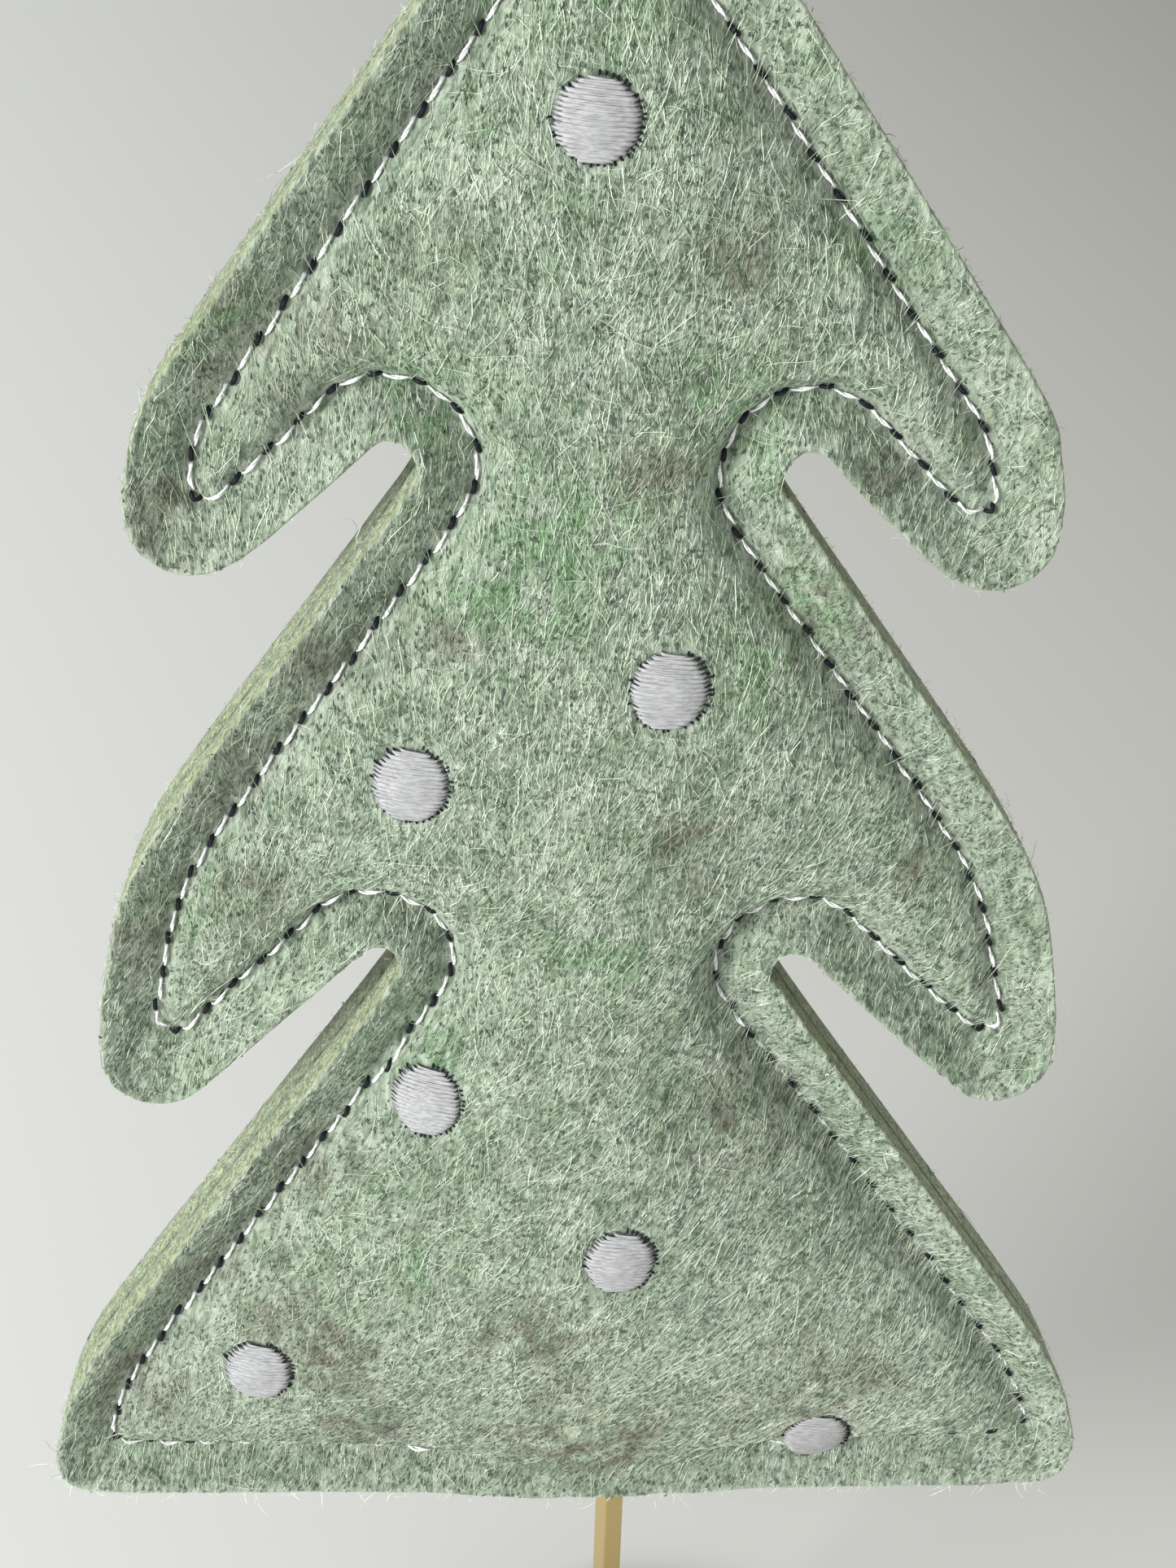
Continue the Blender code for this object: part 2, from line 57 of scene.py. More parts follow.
FELT_LOW, FELT_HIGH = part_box("front_panel")
FELT_BOTTOM = FELT_LOW.z
FELT_CENTRE = (FELT_LOW.x + FELT_HIGH.x) / 2
FELT_WIDTH = FELT_HIGH.x - FELT_LOW.x
FELT_HEIGHT = FELT_HIGH.z - FELT_LOW.z
FELT_SQUARE_CENTIMETRES = 77.0
DOTS = [f"dot_{number}" for number in range(1, 8)]
FACINGS = {"front": -1, "back": 1}
OUT_OF_FRONT = (0.0, -1.0, 0.0)
OUT_OF_BACK = (0.0, 1.0, 0.0)

# Steps along lines, and the distance at which a CAD node's points are one
FINE_STEP = 0.0003
EDGE_STEP = 0.0006
INSET_PLAY = 0.00006
MERGE_DISTANCE = 0.000001

# How the cut outline and its slots are found on the front panel
INNER_RIM_DEPTH = 0.0024
SLOT_STEP = 0.0005
SLOT_REACH = 8
SLOT_RIVALS = 12
SLOT_TURN = 0.9

# How a sharp turn of the seam is found on its fine line, where a needle hole then lies
TURN_REACH = 6
TURN_RIVALS = 8
SHARP_TURN = 1.0

# Where this felt and its sewing leave the even plan
SLOT_RISE = 0.0008
SLOT_SPREAD = 0.0024
RIGHT_SEAM_SHIFT = 0.0007
RIGHT_SEAM_FROM = 0.012
RIGHT_SEAM_TOP = 0.058
RIGHT_SEAM_FADE = 0.014
BOTTOM_SEAM_RISE = 0.0007
BOTTOM_SEAM_REACH = 0.0015
LEFT_EDGE_STANDS = 0.00035
RIGHT_EDGE_STANDS = 0.0006
TOP_DOT_HEIGHT = 0.92
LOWEST_DOT_HEIGHT = 1.08
LOWEST_DOT_RISE = 0.0013
SHADED_RUN_FROM = 0.010
SHADED_RUN_TOP = 0.052
SHADED_THREAD_SUNK = 0.00034

# Shape of the felt's surface: how far the seam holds it, and the spread of groove, holes and dimples
HELD_BY_SEAM = 0.0012
EVENING_ROUNDS = 14
STUFFING_STEPS = 20
GROOVE_SPREAD = 0.0015
HOLE_SPREAD = 0.0009
DIMPLE_DEPTH = 0.00035
DOT_FLATNESS = 0.55
CUT_EDGE_REACH = 0.0008
# Depth band round the middle of the cut edge that carries the painted shade of the gap between the two
# layers
LAYER_GAP_REACH = 0.0007

# Rise of the flange from the cut edge in to the groove, as shares of its tilt
TILT_PLACES = (0.0, 0.0003, 0.0008, 0.0013, 0.0017, 0.0022, 0.0028, 0.0033, 0.0038, 0.0043)
TILT_SHARES = (1.3, 1.1, 0.35, -0.4, -0.7, -1.0, -1.1, -0.8, -0.4, 0.0)

# Part of each stitch that a thread shows, the size of one ply and the slant of a stitch
WHITE_SHOWS = (0.15, 0.85)
BLACK_SHOWS = (-0.19, 0.19)
WHITE_BEHIND = (-0.10, 0.10)
BLACK_BEHIND = (0.08, 0.92)
PLY_RADIUS = 0.56
PLY_OFFSET = 0.44
STITCH_SLANT = 0.00012

# Shape of a thread along what shows of it, as heights in radii
WHITE_LIFTS = (-1.4, 1.4, 2.1, 2.1, 1.4, -1.4)
BLACK_LIFTS = (-1.2, 1.9, 2.5, 1.9, -1.2)
WHITE_LIFTS_BEHIND = (-1.0, 0.5, -1.0)
BLACK_LIFTS_BEHIND = (-1.5, 1.0, 1.4, 1.4, 1.0, -1.5)
LOW_SEAM_TOP = 0.006
LOW_SEAM_PROUD = 0.72

# Tie-offs at the mouth: their shift off the seam, their bow and drop, and how plump their threads are
TIE_OFF_SHIFT = (0.0, -0.00025, 0.00020)
TIE_OFF_ASIDE = 0.45
TIE_OFF_BOW = 0.0006
TIE_OFF_OUT = 0.0002
TIE_OFF_DROP = (0.0003, 0.0009)
TIE_OFF_PLUMP = (0.8, 0.8, 1.6, 1.5)

# Embroidery: turn of the rows, rise of the dot, thickness of its thread and the ticks round it
ROW_TURN = -0.10
DOT_RISE = 0.00036
ROW_RISE = 0.00022
ROW_END = 0.00022
TICKS_ROUND_DOT = 44
TICK_RADIUS = 0.00010

# Nap: fibres in one piece, length of a short dark fibre laid on as painted shade of the gaps, clearance of
# the stitches and reach past the edge
FIBRES_IN_PIECE = 32000
SHADE_FLECK_LENGTH = 0.00040
CLEAR_OF_STITCHES = 0.00048
PAST_EDGE = 0.00010
SHORT_NAP = {"lift": 0.00010, "curl": 0.30, "segments": 3, "strays": 0.12, "shade_flecks": 0.22}
CURLY_NAP = {"lift": 0.00016, "curl": 1.6, "segments": 8, "strays": 0.6, "shade_flecks": 0.0}
CURLY_SHARE = 0.008
CURLY_LENGTH = 3.2
CURLY_WIDTH = 0.85

# Hairs on the cut edge: mean length, depth of their roots and the height up to which they hang longer
HAIR_STEP = 0.0004
HAIR_LENGTH = 0.00055
HAIR_ROOT = 0.00009
HANGING_BELOW = 0.002
HANGING_LENGTH = 2.4
LOOSE_SHARE = 0.004
LOOSE_ABOVE = 0.010
LOOSE_LENGTHS = (0.004, 0.008)

# First random numbers of the seam, the dots, the nap of each face and the hairs
SEAM_SEED = 41
DOT_SEED = 60
NAP_SEEDS = {"front": 300, "back": 350}
CURLY_SEEDS = {"front": 395, "back": 394}
HAIR_SEED = 77

# Share of brown and of vivid fibres all over the felt
COMMON_BROWN = 0.12
COMMON_VIVID = 0.15

# Colours within the finishes
# Near black of the painted shade in the gaps between the felt's fibres
GAP_SHADE_SPECK = (0.03, 0.04, 0.03, 1.0)
DARK_OLIVE = (0.11, 0.17, 0.07, 1.0)
PALE_GRAIN = (0.60, 0.66, 0.42, 1.0)
DARK_SPECK = (0.05, 0.07, 0.03, 1.0)
TAWNY_RIM = (0.36, 0.38, 0.19, 1.0)
RIM_NICK = (0.07, 0.055, 0.025, 1.0)
# Painted shade in the gap between the two felt layers along the cut edge
LAYER_GAP_SHADE = (0.03, 0.035, 0.02, 1.0)
BROWNED_FIBRE = (0.57, 0.565, 0.43, 1.0)

# Lamps with their places, sizes and power, and the point they face
LAMPS = (("key_light", (-0.87, -0.70, 0.52), 0.5, 17.5),
         ("fill_light", (0.15, -1.10, 0.05), 0.9, 1.6),
         ("low_light", (-0.05, -0.27, 0.05), 0.1, 0.10))
LAMP_TARGET = (0.0, 0.0, 0.12)

# World as the object, the camera and reflections see it
WORLD_LIGHT = (0.60, 0.61, 0.60, 1.0)
WORLD_SEEN = (0.66, 0.665, 0.635, 1.0)
WORLD_MIRRORED = (0.42, 0.42, 0.41, 1.0)

# Patches of the felt as shares across and up the tree, with their spread as a share of its width
# Brown-grey felt, partly painted shade: the patches on the left flanges, which face away from the light, and
# the one at (0.69, 0.61) by the right slot's seam
BROWN_AND_SHADE_PATCHES = ((0.26, 0.75, 0.055), (0.28, 0.585, 0.045), (0.375, 0.795, 0.03), (0.60, 0.80, 0.03),
                 (0.58, 0.485, 0.045), (0.38, 0.60, 0.03), (0.55, 0.69, 0.03), (0.16, 0.655, 0.05),
                 (0.54, 0.06, 0.07), (0.46, 0.16, 0.05), (0.26, 0.14, 0.06), (0.74, 0.10, 0.07),
                 (0.30, 0.07, 0.05), (0.64, 0.30, 0.05), (0.22, 0.44, 0.03), (0.78, 0.46, 0.03),
                 (0.72, 0.69, 0.03), (0.20, 0.79, 0.03), (0.31, 0.89, 0.025),
                 (0.22, 0.83, 0.04), (0.13, 0.74, 0.04), (0.20, 0.52, 0.05), (0.11, 0.43, 0.05),
                 (0.25, 0.26, 0.05), (0.16, 0.17, 0.05), (0.08, 0.09, 0.05), (0.40, 0.96, 0.05),
                 (0.69, 0.61, 0.05), (0.49, 0.05, 0.06))
VIVID_PATCHES = ((0.45, 0.626, 0.04), (0.675, 0.625, 0.03), (0.21, 0.775, 0.035), (0.363, 0.206, 0.03),
                 (0.374, 0.72, 0.05), (0.49, 0.66, 0.05), (0.61, 0.72, 0.05), (0.42, 0.63, 0.04),
                 (0.64, 0.585, 0.04), (0.52, 0.42, 0.05), (0.70, 0.80, 0.03), (0.36, 0.34, 0.04),
                 (0.15, 0.43, 0.03), (0.50, 0.93, 0.06), (0.12, 0.70, 0.035), (0.17, 0.31, 0.03))
# Painted light: the felt made paler low down, where more light falls on it from the front and below
PAINTED_LIGHT_PATCHES = ((0.70, 0.13, 0.15), (0.82, 0.07, 0.12), (0.45, 0.12, 0.12), (0.18, 0.08, 0.08))


class FeltTreeFelt(bpy.types.PropertyGroup):
    """Sizes of the felt and its nap"""

    surface_fineness: bpy.props.IntProperty(
        name="Surface Fineness", description="Subdivisions of the felt before it is stuffed",
        default=2, min=1, max=3)
    stuffing_pressure: bpy.props.FloatProperty(
        name="Stuffing Pressure", description="How hard the fibre filling presses on the felt",
        default=9.0, min=0.0)
    stuffing_limit: bpy.props.FloatProperty(
        name="Stuffing Limit", description="Most that a point of the felt moves when it is stuffed",
        default=0.0007, unit="LENGTH", precision=5)
    groove_depth: bpy.props.FloatProperty(
        name="Groove Depth", description="How far the stitches pull the felt in", default=0.0009,
        unit="LENGTH", precision=5)
    flange_tilt: bpy.props.FloatProperty(
        name="Flange Tilt", description="How far the felt stands up near its cut edge", default=0.0006,
        unit="LENGTH", precision=5)
    lump_height: bpy.props.FloatProperty(
        name="Lump Height", description="Unevenness of the needled felt", default=0.00022,
        unit="LENGTH", precision=5)
    nap_fibres: bpy.props.IntProperty(
        name="Nap Fibres", description="Fibres that lie on each square centimetre", default=1350, min=0)
    nap_length: bpy.props.FloatProperty(
        name="Nap Length", description="Mean length of a nap fibre", default=0.0029,
        unit="LENGTH", precision=5)
    nap_width: bpy.props.FloatProperty(
        name="Nap Width", description="Width of a nap fibre", default=0.000048, unit="LENGTH", precision=6)
    edge_hairs: bpy.props.IntProperty(
        name="Edge Hairs", description="Short hairs on each centimetre of cut edge", default=130, min=0)


class FeltTreeThread(bpy.types.PropertyGroup):
    """Sizes of the sewing and the embroidery"""

    stitch_length: bpy.props.FloatProperty(
        name="Stitch Length", description="Length of one lockstitch", default=0.0034,
        unit="LENGTH", precision=5)
    seam_margin: bpy.props.FloatProperty(
        name="Seam Margin", description="From the cut edge to the stitches", default=0.0043,
        unit="LENGTH", precision=5)
    seam_turn: bpy.props.FloatProperty(
        name="Seam Turn", description="Rounding of the seam in the tips", default=0.0011,
        unit="LENGTH", precision=5)
    mouth_from: bpy.props.FloatProperty(
        name="Mouth From", description="Left end of the unsewn mouth from the tree's centre line",
        default=-0.0134, unit="LENGTH", precision=5)
    mouth_to: bpy.props.FloatProperty(
        name="Mouth To", description="Right end of the unsewn mouth from the tree's centre line",
        default=0.0176, unit="LENGTH", precision=5)
    needle_thread: bpy.props.FloatProperty(
        name="Needle Thread", description="Thickness of the white thread", default=0.00036,
        unit="LENGTH", precision=5)
    bobbin_thread: bpy.props.FloatProperty(
        name="Bobbin Thread", description="Thickness of the black thread", default=0.00036,
        unit="LENGTH", precision=5)
    satin_rows: bpy.props.IntProperty(
        name="Satin Rows", description="Rows of thread across one dot", default=34, min=8)


class FeltTreeColours(bpy.types.PropertyGroup):
    """Colours of the felt, the threads and the metal"""

    pale_fibre: bpy.props.FloatVectorProperty(
        name="Pale Fibre", description="Lightest fibres of the felt", subtype="COLOR", size=3,
        default=(0.72, 0.80, 0.66), min=0.0, max=1.0)
    green_fibre: bpy.props.FloatVectorProperty(
        name="Green Fibre", description="Main green of the felt", subtype="COLOR", size=3,
        default=(0.24, 0.36, 0.215), min=0.0, max=1.0)
    # Also the painted shade beneath the nap, and the colour of the short dark fibres laid on as painted
    # shade of the gaps
    deep_fibre: bpy.props.FloatVectorProperty(
        name="Deep Fibre", description="Darkest green of the felt", subtype="COLOR", size=3,
        default=(0.035, 0.060, 0.035), min=0.0, max=1.0)
    vivid_fibre: bpy.props.FloatVectorProperty(
        name="Vivid Fibre", description="Brightest green of the felt", subtype="COLOR", size=3,
        default=(0.16, 0.36, 0.13), min=0.0, max=1.0)
    # Also the painted shade on the cut edge's underside and in some brown patches
    brown_fibre: bpy.props.FloatVectorProperty(
        name="Brown Fibre", description="Brown-grey patches of the felt", subtype="COLOR", size=3,
        default=(0.15, 0.13, 0.085), min=0.0, max=1.0)
    cut_edge: bpy.props.FloatVectorProperty(
        name="Cut Edge", description="Inside of the felt where it is cut", subtype="COLOR", size=3,
        default=(0.38, 0.46, 0.25), min=0.0, max=1.0)
    white_thread: bpy.props.FloatVectorProperty(
        name="White Thread", description="Needle thread and dots", subtype="COLOR", size=3,
        default=(0.42, 0.415, 0.39), min=0.0, max=1.0)
    satin_thread: bpy.props.FloatVectorProperty(
        name="Satin Thread", description="Close rows of thread in the dots", subtype="COLOR", size=3,
        default=(0.42, 0.42, 0.43), min=0.0, max=1.0)
    black_thread: bpy.props.FloatVectorProperty(
        name="Black Thread", description="Lower thread of the seam and the dots", subtype="COLOR", size=3,
        default=(0.010, 0.012, 0.018), min=0.0, max=1.0)
    gold: bpy.props.FloatVectorProperty(
        name="Gold", description="Metal of the stand", subtype="COLOR", size=3,
        default=(0.80, 0.56, 0.16), min=0.0, max=1.0)


class FeltTreeStage(bpy.types.PropertyGroup):
    """Camera, light and floor"""

    lens: bpy.props.FloatProperty(
        name="Lens", description="Focal length for a 36 mm high frame", default=59.8)
    camera_place: bpy.props.FloatVectorProperty(
        name="Camera Place", description="Where the camera stands", default=(-0.0130, -0.1732, 0.2313),
        subtype="TRANSLATION", unit="LENGTH")
    camera_target: bpy.props.FloatVectorProperty(
        name="Camera Target", description="Where the camera looks", default=(-0.0041, -0.00205, 0.1243),
        subtype="TRANSLATION", unit="LENGTH")
    camera_roll: bpy.props.FloatProperty(
        name="Camera Roll", description="Lean of the camera", default=math.radians(1.68), subtype="ANGLE")
    floor_colour: bpy.props.FloatVectorProperty(
        name="Floor Colour", description="Pale floor", subtype="COLOR", size=3,
        default=(0.80, 0.805, 0.79), min=0.0, max=1.0)


# Places and meshes


def deselect_all():
    """Leave nothing selected and no object in edit mode."""
    if bpy.context.object and bpy.context.object.mode != "OBJECT":
        bpy.ops.object.mode_set(mode="OBJECT")
    bpy.ops.object.select_all(action="DESELECT")


def edit(piece):
    """Open one piece in edit mode with everything in it selected."""
    deselect_all()
    bpy.context.view_layer.objects.active = piece
    piece.select_set(True)
    bpy.ops.object.mode_set(mode="EDIT")
    bpy.ops.mesh.select_all(action="SELECT")


def apply_named(piece, name):
    """Apply one modifier of a piece."""
    deselect_all()
    bpy.context.view_layer.objects.active = piece
    piece.select_set(True)
    bpy.ops.object.modifier_apply(modifier=name)


def apply_modifier(piece, kind, name, **settings):
    """Add a modifier to a piece and apply it."""
    added = piece.modifiers.new(name, kind)
    for setting, value in settings.items():
        setattr(added, setting, value)
    apply_named(piece, added.name)


def points_of(mesh):
    """All points of a mesh as an array."""
    flat = np.empty(len(mesh.vertices) * 3)
    mesh.vertices.foreach_get("co", flat)
    return flat.reshape(-1, 3)


def set_points(mesh, points):
    """Move all points of a mesh."""
    mesh.vertices.foreach_set("co", points.ravel())
    mesh.update()


def copied_node(node, name):
    """A merged copy of a CAD node's mesh as a piece of its own."""
    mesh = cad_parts[node].data.copy()
    mesh.name = name
    mesh.materials.clear()
    piece = bpy.data.objects.new(name, mesh)
    bpy.context.scene.collection.objects.link(piece)
    edit(piece)
    bpy.ops.mesh.remove_doubles(threshold=MERGE_DISTANCE)
    bpy.ops.mesh.normals_make_consistent(inside=False)
    bpy.ops.object.mode_set(mode="OBJECT")
    return piece


def patch_shares(points):
    """How brown, how vividly green and how pale the felt is at points; the brown shares are partly painted
    shade and the pale ones painted light.
    """
    across = (points[:, 0] - FELT_LOW.x) / FELT_WIDTH
    up = (points[:, 2] - FELT_LOW.z) / FELT_WIDTH
    tall = FELT_HEIGHT / FELT_WIDTH
    shares = []
    for table in (BROWN_AND_SHADE_PATCHES, VIVID_PATCHES, PAINTED_LIGHT_PATCHES):
        share = np.zeros(len(points))
        for place, height, size in table:
            share += np.exp(-((across - place) ** 2 + (up - height * tall) ** 2) / size ** 2)
        shares.append(np.clip(share, 0, 1))
    common = COMMON_BROWN + COMMON_BROWN * np.clip(1.2 - 1.6 * up, 0, 1)
    return {
        "brown": common + (1 - common) * shares[0],
        "vivid": COMMON_VIVID + (1 - COMMON_VIVID) * shares[1],
        "pale": shares[2],
    }


def note_values(mesh, values):
    """Store values at the points of a mesh."""
    for name, numbers in values.items():
        mesh.attributes.new(name, "FLOAT", "POINT").data.foreach_set("value", numbers.astype(np.float32))


def piece_from(name, points, faces, surface, tints=None):
    """A piece from points and arrays of faces with equal corners, with an optional tint for each point."""
    mesh = bpy.data.meshes.new(name)
    totals = np.concatenate([np.full(len(block), block.shape[1]) for block in faces])
    corners = np.concatenate([block.ravel() for block in faces])
    mesh.vertices.add(len(points))
    mesh.vertices.foreach_set("co", np.ascontiguousarray(points).ravel())
    mesh.loops.add(len(corners))
    mesh.loops.foreach_set("vertex_index", corners.astype(np.int32))
    mesh.polygons.add(len(totals))
    mesh.polygons.foreach_set("loop_start", (np.cumsum(totals) - totals).astype(np.int32))
    mesh.polygons.foreach_set("loop_total", totals.astype(np.int32))
    mesh.update(calc_edges=True)
    mesh.validate()
    if tints is not None:
        note_values(mesh, {"tint": tints, **patch_shares(points)})
    mesh.shade_smooth()
    mesh.materials.append(surface)
    piece = bpy.data.objects.new(name, mesh)
    bpy.context.scene.collection.objects.link(piece)
    return piece


def finish_piece(piece, slot, *nodes):
    """Let a piece ride on the object and hide the nodes that it stands for; its finish slot is not used."""
    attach(piece, "root")
    if nodes:
        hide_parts(*nodes)
    return piece


def dot_place(name):
    """Centre and half sizes of a dot: the top one is a little flat and the lowest rises with the seam."""
    low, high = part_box(name)
    centre, half = (low + high) / 2, (high - low) / 2
    if name == DOTS[0]:
        half.z *= TOP_DOT_HEIGHT
    if name == DOTS[-1]:
        centre.z += LOWEST_DOT_RISE
        half.z *= LOWEST_DOT_HEIGHT
    return centre, half


# Outline and seam, read from the front panel


def outline_ring():
    """The felt's cut outline as places across and up, counter-clockwise from the front."""
    shape = bmesh.new()
    shape.from_mesh(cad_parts["front_panel"].data)
    bmesh.ops.remove_doubles(shape, verts=shape.verts, dist=MERGE_DISTANCE)
    shape.normal_update()
    rim = [edge for edge in shape.edges
           if sorted(abs(face.normal.y) < 0.5 for face in edge.link_faces) == [False, True]
           and min(abs(corner.co.y) for corner in edge.verts) < INNER_RIM_DEPTH]
    after = {}
    for edge in rim:
        for here, there in (tuple(edge.verts), tuple(edge.verts)[::-1]):
            after.setdefault(here, []).append(there)
    start = max(after, key=lambda corner: corner.co.z)
    ring = [start]
    here = after[start][0]
    while here is not start:
        ring.append(here)
        here = next(corner for corner in after[here] if corner is not ring[-2])
    places = np.array([(corner.co.x, corner.co.z) for corner in ring])
    shape.free()
    following = np.roll(places, -1, axis=0)
    area = (places[:, 0] * following[:, 1] - following[:, 0] * places[:, 1]).sum()
    places = softened_ring(places if area > 0 else places[::-1], 2)
    return places + slot_rise(places, slot_ends(places))


def slot_ends(ring):
    """The inner ends of the slots between the boughs, where the outline turns back on itself."""
    ring = even_line(ring, SLOT_STEP)
    way = np.roll(ring, -1, axis=0) - ring
    heading = np.arctan2(way[:, 1], way[:, 0])
    turn = np.roll(heading, -SLOT_REACH) - np.roll(heading, SLOT_REACH)
    turn = (turn + math.pi) % (2 * math.pi) - math.pi
    around = np.stack([np.roll(turn, shift) for shift in range(-SLOT_RIVALS, SLOT_RIVALS + 1)])
    return ring[(turn < -SLOT_TURN) & (turn <= around.min(axis=0))]


def slot_rise(places, ends):
    """How far the felt of the slots' ends is cut higher than the smooth outline."""
    rise = np.zeros_like(places)
    for end in ends:
        squared = ((places - end) ** 2).sum(axis=1)
        rise[:, 1] = np.maximum(rise[:, 1], SLOT_RISE * np.exp(-squared / SLOT_SPREAD ** 2))
    return rise


def softened_ring(ring, rounds):
    """A ring with its corners cut off evenly, and again as often as asked."""
    for _ in range(rounds):
        following = np.roll(ring, -1, axis=0)
        near = ring * 0.75 + following * 0.25
        far = ring * 0.25 + following * 0.75
        ring = np.stack((near, far), axis=1).reshape(-1, 2)
    return ring


def reach_along(line):
    """How far along a line each of its points lies."""
    return np.concatenate(([0.0], np.cumsum(np.linalg.norm(np.diff(line, axis=0), axis=1))))


def even_line(line, step, closed=True):
    """Even points along a line."""
    if closed:
        line = np.concatenate((line, line[:1]))
    reach = reach_along(line)
    count = max(3, round(reach[-1] / step))
    along = np.linspace(0.0, reach[-1], count, endpoint=not closed)
    return np.stack([np.interp(along, reach, line[:, axis]) for axis in range(line.shape[1])], axis=1)


def place_tree(places):
    """A search tree over places across and up."""
    tree = KDTree(len(places))
    for index, (across, up) in enumerate(places):
        tree.insert((across, up, 0.0), index)
    tree.balance()
    return tree


def distances(places, line, closed=True):
    """Shortest distance of places to a line."""
    line = even_line(line, FINE_STEP, closed)
    tree = place_tree(line)
    best = np.array([tree.find((across, up, 0.0))[1] for across, up in places])
    nearest = np.full(len(places), np.inf)
    for shift in (-1, 0):
        first = (best + shift) % len(line) if closed else np.clip(best + shift, 0, len(line) - 2)
        start = line[first]
        side = line[(first + 1) % len(line)] - start
        squared = np.maximum((side ** 2).sum(axis=1), 1e-18)
        share = np.clip(((places - start) * side).sum(axis=1) / squared, 0, 1)
        nearest = np.minimum(np.linalg.norm(places - start - side * share[:, None], axis=1), nearest)
    return nearest


def ring_ways(ring, reach=1):
    """The way that a ring runs at each of its points, as unit steps."""
    way = np.roll(ring, -reach, axis=0) - np.roll(ring, reach, axis=0)
    return way / np.linalg.norm(way, axis=1)[:, None]


def inset_ring(edge, inset):
    """The line that runs evenly inside a ring."""
    edge = even_line(edge, EDGE_STEP)
    way = ring_ways(edge)
    moved = edge + np.stack((-way[:, 1], way[:, 0]), axis=1) * inset
    return moved[distances(moved, edge) > inset - INSET_PLAY]


def sewn_aside(line, level):
    """The seam where it was sewn further out, low on the right, and higher, along the bottom."""
    from_centre = line[:, 0] - FELT_CENTRE
    aside = np.clip((from_centre - RIGHT_SEAM_FROM) / RIGHT_SEAM_FROM, 0, 1)
    low = np.clip((FELT_BOTTOM + RIGHT_SEAM_TOP - line[:, 1]) / RIGHT_SEAM_FADE, 0, 1)
    line[:, 0] += RIGHT_SEAM_SHIFT * aside * low
    right = np.clip((line[:, 0] - FELT_CENTRE) / 0.03, 0, 1)
    line[:, 1] += BOTTOM_SEAM_RISE * right * (line[:, 1] < level + BOTTOM_SEAM_REACH)
    return line


def needle_holes(line, stitch_length):
    """How far along a seam its needle holes lie: even stitches between the sharp turns."""
    reach = reach_along(line)
    way = line[TURN_REACH:] - line[:-TURN_REACH]
    heading = np.unwrap(np.arctan2(way[:, 1], way[:, 0]))
    turn = np.zeros(len(line))
    turn[TURN_REACH:-TURN_REACH] = np.abs(heading[TURN_REACH:] - heading[:-TURN_REACH])
    pivots = [0.0]
    for index in range(TURN_RIVALS, len(line) - TURN_RIVALS):
        most = turn[index - TURN_RIVALS:index + TURN_RIVALS + 1].max()
        if turn[index] > SHARP_TURN and turn[index] >= most and reach[index] - pivots[-1] > stitch_length:
            pivots.append(reach[index])
    marks = []
    for start, end in zip(pivots, pivots[1:] + [reach[-1]]):
        count = max(1, round((end - start) / stitch_length))
        marks.extend(np.linspace(start, end, count, endpoint=False))
    return np.array(marks + [reach[-1]])


def seam_line():
    """The stitched line from the mouth's right end round to its left end, and its needle holes."""
    sizes = bpy.context.scene.felt_tree_thread
    core = inset_ring(outline_ring(), sizes.seam_margin + sizes.seam_turn)
    ring = inset_ring(core, -sizes.seam_turn)
    level = FELT_BOTTOM + sizes.seam_margin
    left_end = FELT_CENTRE + sizes.mouth_from
    right_end = FELT_CENTRE + sizes.mouth_to
    bottom = ring[:, 1] < level + FINE_STEP
    start = min((index for index in range(len(ring)) if bottom[index] and ring[index, 0] > right_end),
                key=lambda index: ring[index, 0])
    ring = np.roll(ring, -start, axis=0)
    in_mouth = (ring[:, 1] < level + FINE_STEP) & (ring[:, 0] > left_end) & (ring[:, 0] < right_end)
    line = np.concatenate(([(right_end, level)], ring[~in_mouth], [(left_end, level)]))
    line = sewn_aside(even_line(line, FINE_STEP, closed=False), level)
    line = even_line(line, FINE_STEP, closed=False)
    return line, needle_holes(line, sizes.stitch_length)


def places_along(line, marks):
    """Places on a line at distances along it."""
    reach = reach_along(line)
    return np.stack([np.interp(marks, reach, line[:, axis]) for axis in (0, 1)], axis=-1)


